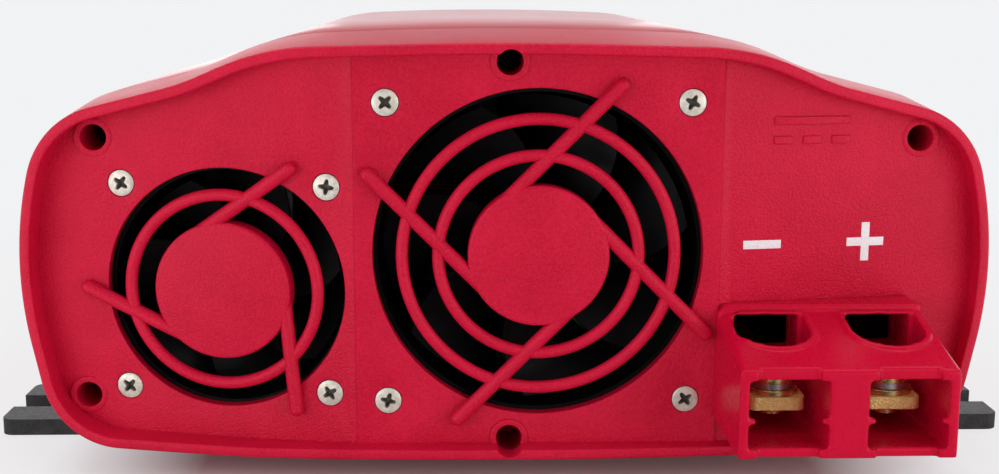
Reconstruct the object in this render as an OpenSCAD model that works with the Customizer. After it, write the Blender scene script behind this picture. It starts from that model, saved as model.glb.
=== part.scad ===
// Power inverter: an extruded body in two halves between two moulded end caps, on slotted feet.
// +X is to the right seen from the DC end, +Y runs from the DC end to the AC end and +Z is up.
// The origin is on the floor, in the middle of the footprint. All sizes are millimetres.

/* [Case] */
// Widest width of the caps' rims
case_w = 233.4; // [220:0.2:250]
// Height of a rim, from its underside to its crown
rim_h = 99; // [95:0.5:110]
// Length from rim to rim
case_len = 300; // [280:1:360]
// How far the middle of a rim stands in front of its panel
rim_proud = 6; // [4:0.5:8]
// Radius of the rim's bow in plan
rim_bow_r = 630; // [560:10:900]
// Thickness of a rim and its side walls
cap_wall = 2.6; // [2.2:0.1:3.2]
// Rounding of a rim's front edge
rim_edge_r = 0.9; // [0.4:0.1:1.2]
// Depth of a cap behind its panel
cap_depth = 30; // [29:0.5:36]
// Thickness of a panel
panel_t = 3; // [2.4:0.2:4]
// Angle by which the side panels sweep back
sweep = 8.5; // [7:0.5:10]
// Step between the middle panel and a side panel
crease_step = 0.4; // [0.2:0.1:0.8]
// How far the body stands out beyond the rims
body_step = 1.7; // [1:0.1:2.4]
// Extra rise of the body's crown
body_crown = 1; // [0:0.1:2]
// Wall of the body halves
shell_wall = 2.4; // [2:0.1:3]
// Height of the lap where the body halves meet
lap_h = 4; // [3:0.5:6]
// Clearance between pieces that slot together
fit_gap = 0.15; // [0.1:0.05:0.25]

/* [Outline] */
// Distance of the shoulder from the middle
shoulder_x = 56; // [50:0.5:60]
// Drop of the shoulder below the crown
shoulder_drop = 1.5; // [1:0.1:3]
// Rounding of the shoulder
shoulder_r = 60; // [40:1:70]
// Distance of the hollow under the shoulder from the middle
hollow_x = 76; // [73:0.5:80]
// Drop of the hollow below the crown
hollow_drop = 10.1; // [8:0.1:12]
// Drop of the upper corner below the crown
corner_drop = 18.9; // [17:0.1:22]
// Rounding of the upper corner
corner_r = 22; // [14:0.5:24]
// Height of the widest point above the rim's underside
bulge_z = 46; // [42:0.5:52]
// Rounding of the lower corner
heel_r = 19.5; // [12:0.5:22]
// Rise of the underside at the lower corner
heel_rise = 1.6; // [1:0.1:4.5]

/* [Case screws] */
// Radius of the recess for a screw head
recess_r = 3.1; // [2.9:0.1:3.4]
// Radius of the ring round a recess
recess_ring_r = 4.6; // [4.3:0.1:4.8]
// Distance of the upper corner screws from the rim's widest point
upper_screw_inset = 18; // [16:0.1:20]
// Distance of the lower corner screws from the rim's widest point
lower_screw_inset = 13.9; // [13.3:0.1:14.1]
// Radius of a case screw's shank
case_screw_r = 1.9; // [1.6:0.1:2]
// Length of a case screw below its head
case_screw_len = 16; // [12:1:24]

/* [Large fan] */
// Distance of the large fan from the middle
large_fan_x = 6.8; // [4:0.2:9]
// Gap between the large fan's frame and the ring of the keel screw below it
large_fan_gap = 0.5; // [0.3:0.1:4]
// Gap between the large fan's frame and the ring of the crown screw above it
large_fan_headroom = 0.6; // [0.3:0.1:4]
// Depth of the large fan
large_fan_depth = 25; // [20:0.5:26]
// Distance of the large fan's screws from the edge of its frame
large_screw_in = 4.25; // [4:0.05:5]
// Margin of the large fan's frame round the opening in the panel
large_open_margin = 0.9; // [0.5:0.1:2]
// Radius of the grille's hub plate
large_plate_r = 16.7; // [14:0.1:18]
// Mean radius of the grille's inner ring
large_inner_ring_r = 23.6; // [22:0.1:25]
// Distance of the grille's outer ring from the edge of the opening
large_outer_ring_in = 7; // [5:0.1:9]
// How far the spokes reach over the panel beyond the opening
large_spoke_lap = 6.8; // [4:0.1:8]

/* [Small fan] */
// Gap between the small fan's frame and the left crease
small_fan_gap = 1.7; // [1.5:0.1:4]
// Height of the small fan's frame above the rim's underside
small_fan_rise = 9.8; // [8:0.2:14]
// Gap between the small fan's frame and the ring of the upper corner screw
small_fan_headroom = 1.3; // [0.5:0.1:4]
// Depth of the small fan
small_fan_depth = 20; // [18:0.5:21]
// Distance of the small fan's screws from the edge of its frame
small_screw_in = 5; // [4.5:0.05:6]
// Margin of the small fan's frame round the opening in the panel
small_open_margin = 0.9; // [0.5:0.1:2]
// Radius of the grille's hub plate
small_plate_r = 16.5; // [14:0.1:17.5]
// How far the grille's ring lies outside the middle of the airway
small_ring_out = 0.1; // [-1:0.1:1]
// How far the spokes reach over the panel beyond the opening
small_spoke_lap = 6.1; // [4:0.1:8]

/* [Grilles and fans] */
// Radius of a grille's spokes
spoke_r = 1.7; // [1.4:0.05:2]
// Radius of a grille's rings
ring_r = 1.45; // [1.2:0.05:1.6]
// Thickness of a fan's flange
fan_flange_t = 4; // [3:0.2:5]
// Gap between blade tips and duct
tip_gap = 1.2; // [0.8:0.1:1.8]
// Radius of a fan's shaft
fan_shaft_r = 1.5; // [1.2:0.1:2]
// Radial running clearance of a fan's shaft
fan_shaft_gap = 0.04; // [0.02:0.01:0.08]
// Number of blades on each rotor
blade_count = 7; // [5:1:9]
// Thickness of a blade
blade_t = 1.3; // [1:0.1:1.8]
// Radius of a fan screw's head
fan_head_r = 3.15; // [3:0.05:3.3]
// Radius of a fan screw's shank
fan_screw_r = 1.7; // [1.4:0.05:1.8]

/* [Terminals] */
// Distance of the terminal shroud's middle from the middle of the case
shroud_x = 73.65; // [73.4:0.05:73.7]
// Width of the shroud
shroud_w = 48.7; // [46:0.1:49]
// How far the shroud reaches in front of the middle panel
shroud_reach = 32; // [28:0.5:38]
// Height of the shroud's underside above the rim's underside
shroud_z = 9.1; // [8.8:0.1:12]
// Height of the shroud's front face
shroud_front_h = 20.1; // [19.6:0.1:22]
// Height of the shroud's roof above its underside
shroud_roof_h = 28; // [27:0.1:31]
// Distance of the roof's front edge from the middle panel
roof_reach = 2.2; // [1.6:0.1:3]
// Height of the strip under the roof's front edge
roof_strip_h = 1.6; // [1:0.1:2.2]
// Width of a cable cavity
cavity_w = 17.7; // [16.6:0.1:18]
// Distance between the middles of the two cavities
cavity_pitch = 26.5; // [25.8:0.1:26.6]
// Thickness of the shroud's floor
shroud_floor_t = 2.1; // [1.6:0.1:2.6]
// Height of a cable cavity
cavity_h = 15.5; // [14.5:0.1:16]
// How far the bars above and below a cavity are set back
shroud_setback = 1.3; // [0.8:0.1:2]
// Width of the wall ends beside the set-back bars
wall_end_w = 2; // [1.4:0.1:2.6]
// Radius of a tool well
well_r = 8.4; // [8:0.05:8.6]
// Distance of a terminal screw from the middle panel
terminal_reach = 13; // [12.6:0.1:14]
// Width of a terminal bar
bar_w = 13; // [11:0.1:13.6]
// Thickness of a terminal bar
bar_t = 3; // [2.4:0.1:3.4]
// Height of a terminal bar above the cavity floor
bar_lift = 5.2; // [4.6:0.1:5.6]
// Radius of a terminal screw's shank
terminal_screw_r = 2.9; // [2.5:0.05:3]
// Radius of a terminal screw's head
terminal_head_r = 5.2; // [4.8:0.1:5.6]

/* [Feet] */
// Thickness of a foot
foot_t = 4.3; // [3.6:0.1:5.4]
// Width of a foot along the case
foot_w = 33.6; // [30:0.2:38]
// Distance of a foot from the end of the body
foot_back = 3.7; // [2:0.1:8]
// How far a foot reaches out beyond the rims
foot_out = 16.3; // [14:0.1:25]
// Width of a foot's slot
foot_slot_w = 10.4; // [8:0.1:12]
// Depth of a foot's slot
foot_slot_d = 16; // [13:0.5:18]
// Rounding of a foot's corners
foot_corner_r = 3; // [1.5:0.1:4]

/* [AC end] */
// Distance of the AC panel's creases from the middle
ac_crease_x = 50; // [49:0.5:54]
// Distance between the two outlets
outlet_pitch = 42; // [40:0.5:46]
// Height of the outlets above the rim's underside
outlet_z = 52; // [48:0.5:56]
// Width of an outlet's body
outlet_w = 27; // [26:0.2:30]
// Height of an outlet's body
outlet_h = 36; // [35:0.2:39]
// Depth of an outlet's body behind the panel
outlet_depth = 24; // [22:0.5:26]
// Length of the switch
switch_h = 27; // [26:0.2:30]
// Width of the switch
switch_w = 22; // [20:0.2:24]
// Full tilt of the rocker
rocker_tilt = 20; // [14:1:24]
// Width of the USB socket's shell
usb_w = 13.2; // [12.8:0.1:14]
// Radius of an indicator lens
lens_r = 2.5; // [1.5:0.1:3]

/* [Inside] */
// Distance of the circuit board's edges from the rim's widest point
board_inset = 24.7; // [22:0.1:27]
// Thickness of the circuit board
board_t = 1.6; // [1.2:0.1:2.4]
// Distance of the screw ribs from the circuit board's edges
rib_in = 8; // [6:0.5:10]
// Length of a transformer
transformer_len = 50; // [40:1:52]
// Height of a transformer
transformer_h = 42; // [34:1:50]
// Radius of an input capacitor
input_cap_r = 8; // [6:0.1:8]
// Height of an input capacitor
input_cap_h = 32; // [20:1:40]
// Radius of an output capacitor
output_cap_r = 15; // [11:0.5:16]
// Height of an output capacitor
output_cap_h = 42; // [30:1:50]
// Length of a heat sink
sink_len = 110; // [90:1:112]
// Height of a heat sink
sink_h = 40; // [30:1:46]

/* [Hidden] */
$fn = 48;
eps = 0.01;
cut = 1;

// Heights of the rim and of the seam between the body halves
rim_bottom = foot_t + body_step;
rim_top = rim_bottom + rim_h;
seam_z = rim_bottom + bulge_z;

// Places along the case
cap_len = rim_proud + cap_depth;
overall_len = case_len + shroud_reach - rim_proud;
dc_rim_y = shroud_reach - rim_proud - overall_len / 2;
ac_rim_y = overall_len / 2;
shell_y0 = dc_rim_y + cap_len;
shell_y1 = ac_rim_y - cap_len;

// Creases of the DC panel
left_crease_x = -36.4;
crease_inset = 0.55;
right_crease_x = shroud_x - shroud_w / 2 + crease_inset;

// Control points of the rim's right half, each with its rounding, its turn and its number of arc steps,
// and the number of points along the straight run after each corner of the whole rim
crown_r = 900;
hollow_r = 60;
bulge_full_r = 90;
flat_r = 100;
bulge_over = 2.1;
corner_in = 6.3;
heel_in = 7.3;
flat_x = 60;
half_points = [
    [shoulder_x, rim_top - shoulder_drop],
    [hollow_x, rim_top - hollow_drop],
    [case_w / 2 - corner_in, rim_top - corner_drop],
    [case_w / 2 + bulge_over, seam_z],
    [case_w / 2 - heel_in, rim_bottom + heel_rise],
    [flat_x, rim_bottom]
];
least_run = 1;
corner_lap = corner_r * tan(bend(half_points[1], half_points[2], half_points[3]) / 2);
bulge_room = norm(half_points[3] - half_points[2]) - corner_lap - least_run;
bulge_r = min(bulge_full_r, bulge_room / tan(bend(half_points[2], half_points[3], half_points[4]) / 2));
half_radii = [shoulder_r, hollow_r, corner_r, bulge_r, heel_r, flat_r];
half_turns = [1, -1, 1, 1, 1, 1];
half_steps = [6, 3, 6, 6, 6, 2];
crown_steps = 6;
run_points = [1, 0, 1, 0, 0, 1, 5, 1, 0, 0, 1, 0, 1];

// Case screws: place, direction of the web that ties each channel to the body's wall
upper_screw_x = case_w / 2 - upper_screw_inset;
lower_screw_x = case_w / 2 - lower_screw_inset;
upper_screw_drop = 4.4;
lower_screw_rise = 12.2;
crown_screw_drop = 4.8;
keel_screw_rise = 3.9;
upper_screw_z = rim_top - corner_drop - upper_screw_drop;
lower_screw_z = rim_bottom + lower_screw_rise;
crown_screw_z = rim_top - crown_screw_drop;
keel_screw_z = rim_bottom + keel_screw_rise;
screw_places = [
    [0, crown_screw_z, 90],
    [upper_screw_x, upper_screw_z, 50],
    [-upper_screw_x, upper_screw_z, 130],
    [lower_screw_x, lower_screw_z, -25],
    [-lower_screw_x, lower_screw_z, 205],
    [0, keel_screw_z, 270]
];
recess_floor_t = 4;
recess_ring_proud = 0.8;
channel_r = 4.4;
channel_web = 4;
channel_web_len = 14;
screw_head_h = 2.4;

// Caps: part of the wall that the panel runs into
panel_bite = 0.6;

// Grilles: angles of the spokes, how deep a spoke lies in the panel and within the edge of the hub plate,
// how much lower the rings lie, and the part of a spoke's upper half that the plate fills
large_spokes = [45, 135, 225, 315];
small_spokes = [5, 125, 245];
spoke_sink = 0.3;
spoke_inset = 0.3;
ring_drop = 0.15;
plate_rise = 1.02;

// Terminals
cavity_z = rim_bottom + shroud_z + shroud_floor_t;
bar_z = cavity_z + bar_lift;
cavity_rear = 2.5;
bar_board_lap = 22;
flat_washer_t = 1.2;
spring_washer_t = 1.5;
terminal_head_h = 3.4;
terminal_tip = 2;
washer_over = 0.8;
spring_under = 0.4;
spring_turn = 345;
well_back = 2.6;
well_lip = 1.3;
well_raise = 0.8;
window_side = 0.9;
window_roof_t = 3.2;
bar_corner_r = 1.8;
shroud_screw_zs = [shroud_z + 5, shroud_z + shroud_roof_h - 6];
shroud_screw_r = 1.5;
shroud_screw_len = 14;
shroud_screw_gap = 0.8;
shroud_hole_gap = 0.4;
shroud_head_r = 3;
shroud_head_h = 2;
terminal_xs = [shroud_x - cavity_pitch / 2, shroud_x + cavity_pitch / 2];

// Fans: each frame fills the room that the case screws and the creases leave for it
fan_crease_gap = 3;
small_fan_side_gap = 0.78;
large_room_h = crown_screw_z - keel_screw_z - 2 * recess_ring_r - large_fan_gap - large_fan_headroom;
large_room_w = 2 * (min(large_fan_x - left_crease_x, right_crease_x - large_fan_x) - fan_crease_gap);
large_fan_size = min(large_room_h, large_room_w);
large_fan_z = keel_screw_rise + recess_ring_r + large_fan_gap + large_fan_size / 2;
small_side_run = (lower_screw_x - recess_ring_r + left_crease_x) / cos(sweep);
small_room_w = small_side_run - small_fan_side_gap - small_fan_gap;
small_room_h = upper_screw_z - recess_ring_r - small_fan_headroom - rim_bottom - small_fan_rise;
small_fan_size = min(small_room_h, small_room_w);
small_fan_run = small_fan_gap + small_fan_size / 2;
small_fan_z = small_fan_rise + small_fan_size / 2;
large_fan_pitch = large_fan_size - 2 * large_screw_in;
small_fan_pitch = small_fan_size - 2 * small_screw_in;
large_open_r = large_fan_size / 2 - large_open_margin;
small_open_r = small_fan_size / 2 - small_open_margin;
large_outer_ring_r = large_open_r - large_outer_ring_in;
large_spoke_end_r = large_open_r + large_spoke_lap;
small_ring_r = (small_plate_r + small_open_r) / 2 + small_ring_out;
small_spoke_end_r = small_open_r + small_spoke_lap;

// Fans: ducts and hubs, frame, bearing, stator, rotor and fasteners
large_duct_r = large_open_r - 1;
small_duct_r = small_open_r - 0.8;
large_hub_r = large_plate_r - 0.5;
small_hub_r = small_plate_r - 2;
fan_corner_r = 4;
fan_duct_t = 1.6;
fan_base_t = 2.4;
fan_arm_w = 4;
fan_arm_angles = [20, 110, 200, 290];
fan_post_r = fan_shaft_r * 3;
fan_bearing_r = fan_shaft_r * 2;
fan_bearing_part = 0.55;
fan_floor_t = 1.2;
bearing_floor_t = 0.6;
shaft_play = 0.1;
pole_w = 4.8;
pole_part = 0.3;
pole_root = 2;
magnet_gap = 2.8;
coil_t = 2;
rotor_lift = 3.4;
rotor_sink = 1.6;
rotor_wall = 1.6;
rotor_roof_t = 2.4;
blade_inset = 0.4;
blade_root = 1.5;
blade_curve = 0.95;
blade_reach = 0.36;
blade_pitch = 51.5;
fan_nut_r = 3.6;
fan_nut_h = 3;
fan_screw_tip = 1.5;

// Circuit board, which carries the terminal bars
board_top = bar_z;
board_gap = 4;
board_y0 = dc_rim_y + rim_proud + panel_t + large_fan_depth + board_gap;
board_y1 = ac_rim_y - rim_proud - panel_t - outlet_depth - board_gap * 2;
board_mid_y = (board_y0 + board_y1) / 2;
board_half_w = case_w / 2 - board_inset;
rib_x = board_half_w - rib_in;
board_screw_r = 1.4;
rib_w = 6;
rib_inset = 28;
board_screw_bite = 6;
board_hole_d = 10;
board_head_r = 2.8;
board_head_h = 1.9;

// Feet
foot_pad_in = 6.7;
foot_pad_len = 44;
foot_pad_h = 6;
inner_screw_in = 8;
outer_screw_in = 14;
foot_reach = case_w / 2 + foot_out;
foot_pad_x = case_w / 2 - foot_pad_in;
foot_inner_x = foot_pad_x - foot_pad_len;
foot_screw_xs = [foot_inner_x + inner_screw_in, foot_pad_x - outer_screw_in];
foot_screw_r = 1.6;
foot_head_r = 3.4;
foot_head_h = 1.8;
foot_recess_d = 2.4;
foot_screw_bite = 3.4;
foot_hole_d = 14;
foot_screw_len = foot_t + foot_screw_bite;
foot_hole_h = foot_t + foot_hole_d;
front_foot_y = shell_y0 + foot_back + foot_w / 2;
rear_foot_y = shell_y1 - foot_back - foot_w / 2;

// AC end
flange_t = 2;
flange_lip = 2.5;
vent_count = 7;
vent_w = 3;
vent_pitch = 6;
vent_h = 30;
switch_run = 30;
usb_run = 26;
usb_h = 14.4;
usb_drop = 26;
usb_z = rim_bottom + outlet_z - usb_drop;
usb_depth = 12;
usb_proud = 1;
usb_wall = 0.5;
usb_tongue_t = 1.8;
usb_tongue_lift = 1.6;
usb_tongue_back = 3;
vent_gap = 6;
vent_z = usb_z + usb_h / 2 + vent_gap + vent_h / 2;
switch_depth = 18;
rocker_end_in = 2;
rocker_end_r = switch_h / 2 - rocker_end_in;
rocker_gap = 0.4;
trunnion_r = 1.6;
trunnion_gap = 0.05;
trunnion_len = 1.2;
lens_pitch = 11;
lens_over = 0.95;
lens_low = rim_bottom + outlet_z + outlet_h / 2 + flange_lip;
lens_high = crown_screw_z - recess_ring_r;
lens_z = (lens_low + lens_high) / 2 + lens_over;
lens_flange_t = 1.5;
lens_flange = 0.8;
lens_dome = 0.8;
blade_slot_x = 6.35;
blade_slot_y = 3;
blade_slot_w = 2;
blade_slot_hs = [8.6, 7];
earth_drop = 11.9;
earth_r = 2.6;
slot_grow = 1;
slot_front_t = flange_t * 1.5;
contact_t = 0.8;
contact_h = 6.4;
contact_x = 1.55;
earth_tube_r = 3.3;
outlet_corner_r = 3;
switch_corner_r = 2;
switch_wall = 1.7;
switch_floor_t = 4;
rocker_face = 6;
rocker_waist = 3.4;
rocker_skirt = -2.5;
rocker_keel = -5;
rocker_keel_w = 6;

red = [0.75, 0.08, 0.18];
painted_red = [0.72, 0.06, 0.14];
charcoal = [0.13, 0.13, 0.14];
dark = [0.06, 0.06, 0.07];
steel = [0.78, 0.78, 0.78];
brass = [0.80, 0.64, 0.28];
copper = [0.72, 0.40, 0.20];

// Vector helpers
function unit(v) = v / norm(v);
function left_of(d) = [-d[1], d[0]];
function flipped(list) = [for (i = [len(list) - 1 : -1 : 0]) list[i]];

// Moves every edge of a closed clockwise outline outwards by d
function outset(p, d) = [
    for (i = [0 : len(p) - 1])
        let (a = unit(p[i] - p[(i + len(p) - 1) % len(p)]), b = unit(p[(i + 1) % len(p)] - p[i]))
        p[i] + d * (left_of(a) + left_of(b)) / (1 + a * b)
];

// Angle through which an outline turns at v, on its way from a to b
function bend(a, v, b) = acos(unit(v - a) * unit(b - v));

// Arc of radius r that rounds the corner v between its neighbours a and b
function arc_at(v, a, b, r, steps) =
    let (u = unit(a - v), w = unit(b - v), half = acos(u * w) / 2, turn = 180 - 2 * half)
    let (middle = v + unit(u + w) * r / sin(half))
    let (start = v + u * r / tan(half) - middle, end = v + w * r / tan(half) - middle)
    [for (k = [0 : steps])
        middle + (sin((1 - k / steps) * turn) * start + sin(k / steps * turn) * end) / sin(turn)];

// The case's outline in X and Z, d outside the rim, with its crown raised: one arc per corner
function outline_arcs(d, crown) =
    let (left_half = [for (p = flipped(half_points)) [-p[0], p[1]]])
    let (corners = outset(concat([[0, rim_top + crown]], half_points, left_half), d))
    let (radii = concat([crown_r], half_radii, flipped(half_radii)))
    let (turns = concat([1], half_turns, flipped(half_turns)))
    let (steps = concat([crown_steps], half_steps, flipped(half_steps)))
    let (n = len(corners))
    [for (i = [0 : n - 1])
        let (before = corners[(i + n - 1) % n], after = corners[(i + 1) % n])
        arc_at(corners[i], before, after, radii[i] + turns[i] * d, steps[i])];

function outline(d, crown) = [for (arc = outline_arcs(d, crown)) each arc];

// The same outline with points along its straight runs too, so that it can bow with the rim
function divided_outline(d, crown) =
    let (arcs = outline_arcs(d, crown), n = len(arcs))
    [for (i = [0 : n - 1])
        let (from = arcs[i][len(arcs[i]) - 1], to = arcs[(i + 1) % n][0], count = run_points[i])
        each concat(arcs[i], [for (k = [1 : 1 : count]) from + (to - from) * k / (count + 1)])];

// How far the rim lies back at x
function rim_bow(x) = x * x / (2 * rim_bow_r);

// How far a swept panel lies back at x, with its creases at left_x and right_x
function panel_back(x, left_x, right_x) =
    x < left_x ? crease_step + (left_x - x) * tan(sweep) :
    x > right_x ? crease_step + (x - right_x) * tan(sweep) : 0;

// The places of the two ends: inside, y runs inwards from the crest of that end's rim
module at_dc() {
    translate([0, dc_rim_y, 0]) children();
}

module at_ac() {
    rotate([0, 0, 180]) translate([0, -ac_rim_y, 0]) children();
}

// A place on a panel, where z points out of the panel and y up
module on_middle(x, z) {
    translate([x, rim_proud, z]) rotate([90, 0, 0]) children();
}

module on_left(crease_x, run, z) {
    translate([crease_x, rim_proud + crease_step, 0]) rotate([0, 0, -sweep])
        translate([-run, 0, z]) rotate([90, 0, 0]) children();
}

module on_right(crease_x, run, z) {
    translate([crease_x, rim_proud + crease_step, 0]) rotate([0, 0, sweep])
        translate([run, 0, z]) rotate([90, 0, 0]) children();
}

module at_large_fan() {
    at_dc() on_middle(large_fan_x, rim_bottom + large_fan_z) children();
}

module at_small_fan() {
    at_dc() on_left(left_crease_x, small_fan_run, rim_bottom + small_fan_z) children();
}

module corners(pitch) {
    for (x = [-1, 1], y = [-1, 1]) translate([x * pitch / 2, y * pitch / 2, 0]) children();
}

// Extrudes a shape drawn in X and Z from y0 to y1
module along_y(y0, y1) {
    translate([0, y1, 0]) rotate([90, 0, 0]) linear_extrude(y1 - y0) children();
}

// Rectangle about its middle with round corners
module round_rect(w, h, r) {
    polygon([for (c = [[1, 1, 0], [-1, 1, 90], [-1, -1, 180], [1, -1, 270]], k = [0 : 4])
        [c[0] * (w / 2 - r) + r * cos(c[2] + k * 22.5), c[1] * (h / 2 - r) + r * sin(c[2] + k * 22.5)]]);
}

module tube(outer_r, inner_r, h) {
    difference() {
        cylinder(r = outer_r, h = h);
        translate([0, 0, -cut]) cylinder(r = inner_r, h = h + 2 * cut);
    }
}

module cross_recess(r, depth) {
    for (a = [0, 90]) rotate([0, 0, a]) translate([-r, -r / 5, -depth]) cube([2 * r, 2 * r / 5, depth + cut]);
}

// Screws point down from z = 0, the seat of a pan head or the face of a countersunk one
flat_head_edge = 0.3;
recess_part = 0.55;

module pan_screw(head_r, head_h, shank_r, len) {
    difference() {
        union() {
            rotate_extrude() polygon([[0, 0], [head_r, 0], [head_r, head_h * 0.45],
                [head_r * 0.86, head_h * 0.82], [head_r * 0.5, head_h], [0, head_h]]);
            translate([0, 0, -len]) cylinder(r = shank_r, h = len + eps);
        }
        translate([0, 0, head_h]) cross_recess(head_r * recess_part, head_h / 2);
    }
}

module flat_screw(head_r, shank_r, len) {
    difference() {
        rotate_extrude() polygon([[0, 0], [head_r, 0], [head_r, -flat_head_edge],
            [shank_r, shank_r - head_r - flat_head_edge], [shank_r, -len], [0, -len]]);
        cross_recess(head_r * recess_part, head_r / 3);
    }
}

module flat_screw_seat(head_r, shank_r, gap, len) {
    rotate_extrude() polygon([[0, cut], [head_r + gap, cut], [head_r + gap, -flat_head_edge - gap],
        [shank_r + gap, shank_r - head_r - flat_head_edge - gap], [shank_r + gap, -len], [0, -len]]);
}

// One closed loop of the outline, depth behind the rim's front: bowed like the rim, or flat
function cap_loop(d, crown, depth, bowed) =
    [for (p = divided_outline(d, crown)) [p[0], depth + (bowed ? rim_bow(p[0]) : 0), p[1]]];

// The cap's drafted side wall with its rounded rim
module cap_side() {
    inner_edge = rim_edge_r / 3;
    bevel = rim_edge_r * (1 - cos(45));
    loops = [
        cap_loop(-cap_wall + inner_edge, 0, 0, true),
        cap_loop(-rim_edge_r, 0, 0, true),
        cap_loop(-bevel, 0, bevel, true),
        cap_loop(0, 0, rim_edge_r, true),
        cap_loop(body_step, body_crown, cap_len, false),
        cap_loop(body_step - cap_wall, body_crown, cap_len, false),
        cap_loop(-cap_wall, 0, inner_edge, true)
    ];
    n = len(loops[0]);
    count = len(loops);
    polyhedron(
        points = [for (loop = loops) each loop],
        faces = [for (k = [0 : count - 1], i = [0 : n - 1], half = [0, 1])
            let (j = (i + 1) % n, a = k * n, b = ((k + 1) % count) * n)
            half == 0 ? [a + i, b + j, a + j] : [a + i, b + i, b + j]],
        convexity = 8);
}

// Everything of a cap that lies inside its side wall
module inside_cap() {
    along_y(-cut, cap_len) polygon(outline(-cap_wall * (1 - panel_bite), 0));
}

// Three flat panels in plan, with a small step at each crease
module swept_panel(left_x, right_x) {
    far = case_w / 2 + bulge_over;
    front = [
        [-far, panel_back(-far, left_x, right_x)],
        [left_x - crease_step, panel_back(left_x - crease_step, left_x, right_x)],
        [left_x, 0],
        [right_x, 0],
        [right_x + crease_step, panel_back(right_x + crease_step, left_x, right_x)],
        [far, panel_back(far, left_x, right_x)]
    ];
    back = [for (p = flipped(front)) p + [0, panel_t]];
    translate([0, rim_proud, 0]) linear_extrude(rim_top + cut) polygon(concat(front, back));
}

// A cap without its cut-outs: side wall, panel and the bosses of the case screws
module plain_cap(left_x, right_x) {
    difference() {
        union() {
            cap_side();
            intersection() {
                union() {
                    swept_panel(left_x, right_x);
                    for (p = screw_places)
                        along_y(rim_proud + panel_back(p[0], left_x, right_x) - recess_ring_proud, cap_len)
                            translate([p[0], p[1]]) circle(r = recess_ring_r);
                }
                inside_cap();
            }
        }
        for (p = screw_places) {
            along_y(-cut, cap_len - recess_floor_t) translate([p[0], p[1]]) circle(r = recess_r);
            along_y(-cut, cap_len + cut) translate([p[0], p[1]]) circle(r = case_screw_r + fit_gap);
        }
    }
}

// Swirl grille: a hub plate, rings and straight spokes that leave the plate at a tangent
module grille(plate_r, ring_radii, spoke_angles, spoke_end_r) {
    spoke_offset = plate_r - spoke_r - spoke_inset;
    spoke_lift = spoke_r - spoke_sink;
    spoke_len = sqrt(pow(spoke_end_r, 2) - pow(spoke_offset, 2)) - spoke_r;
    plate_h = panel_t / 2 + spoke_lift + spoke_r * plate_rise;
    translate([0, 0, -panel_t / 2]) cylinder(r = plate_r, h = plate_h);
    for (r = ring_radii) translate([0, 0, spoke_lift - ring_drop]) rotate_extrude()
        translate([r, 0]) circle(r = ring_r, $fn = 24);
    for (a = spoke_angles) rotate([0, 0, a]) translate([spoke_offset, 0, spoke_lift]) rotate([90, 0, 0]) {
        cylinder(r = spoke_r, h = spoke_len, $fn = 24);
        translate([0, 0, spoke_len]) sphere(r = spoke_r, $fn = 24);
    }
}

module dc_end_cap() color(red) at_dc() {
    difference() {
        plain_cap(left_crease_x, right_crease_x);
        on_middle(large_fan_x, rim_bottom + large_fan_z) {
            translate([0, 0, -panel_t - cut]) cylinder(r = large_open_r, h = panel_t + 2 * cut, $fn = 96);
            corners(large_fan_pitch) flat_screw_seat(fan_head_r, fan_screw_r, fit_gap, panel_t + cut);
        }
        on_left(left_crease_x, small_fan_run, rim_bottom + small_fan_z) {
            translate([0, 0, -panel_t - cut]) cylinder(r = small_open_r, h = panel_t + 2 * cut, $fn = 96);
            corners(small_fan_pitch) flat_screw_seat(fan_head_r, fan_screw_r, fit_gap, panel_t + cut);
        }
        for (x = terminal_xs) translate([x - bar_w / 2 - fit_gap, 0, bar_z - fit_gap])
            cube([bar_w + 2 * fit_gap, cap_len, bar_t + 2 * fit_gap]);
        well_windows();
        shroud_screw_holes(shroud_screw_r + shroud_hole_gap);
    }
    on_middle(large_fan_x, rim_bottom + large_fan_z)
        grille(large_plate_r, [large_inner_ring_r, large_outer_ring_r], large_spokes, large_spoke_end_r);
    on_left(left_crease_x, small_fan_run, rim_bottom + small_fan_z)
        grille(small_plate_r, [small_ring_r], small_spokes, small_spoke_end_r);
}

module at_outlets() {
    for (x = [-1, 1]) on_middle(x * outlet_pitch / 2, rim_bottom + outlet_z) children();
}

module ac_end_cap() color(red) at_ac() difference() {
    plain_cap(-ac_crease_x, ac_crease_x);
    at_outlets() panel_cut(outlet_w, outlet_h);
    on_right(ac_crease_x, switch_run, rim_bottom + outlet_z) panel_cut(switch_w, switch_h);
    on_left(-ac_crease_x, usb_run, usb_z) panel_cut(usb_w, usb_h);
    for (i = [0, 1]) on_middle((i - 0.5) * lens_pitch, lens_z)
        translate([0, 0, -panel_t - cut]) cylinder(r = lens_r + fit_gap, h = panel_t + 2 * cut);
    for (i = [0 : vent_count - 1])
        on_left(-ac_crease_x, usb_run + (i - (vent_count - 1) / 2) * vent_pitch, vent_z)
            panel_cut(vent_w, vent_h);
}

module panel_cut(w, h) {
    translate([0, 0, -panel_t - cut]) linear_extrude(panel_t + 2 * cut)
        square([w + 2 * fit_gap, h + 2 * fit_gap], center = true);
}

// Cross-section of the body, with the channels that the case screws bite into
module shell_section() {
    difference() {
        union() {
            difference() {
                polygon(outline(body_step, body_crown));
                polygon(outline(body_step - shell_wall, body_crown));
            }
            intersection() {
                polygon(outline(body_step - eps, body_crown));
                for (p = screw_places) translate([p[0], p[1]]) {
                    circle(r = channel_r);
                    rotate([0, 0, p[2]]) translate([0, -channel_web / 2])
                        square([channel_web_len, channel_web]);
                }
            }
        }
        for (p = screw_places) translate([p[0], p[1]]) circle(r = case_screw_r + eps * 2);
    }
}

module below(z) {
    translate([-case_w, z - 2 * rim_h]) square([2 * case_w, 2 * rim_h]);
}

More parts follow.
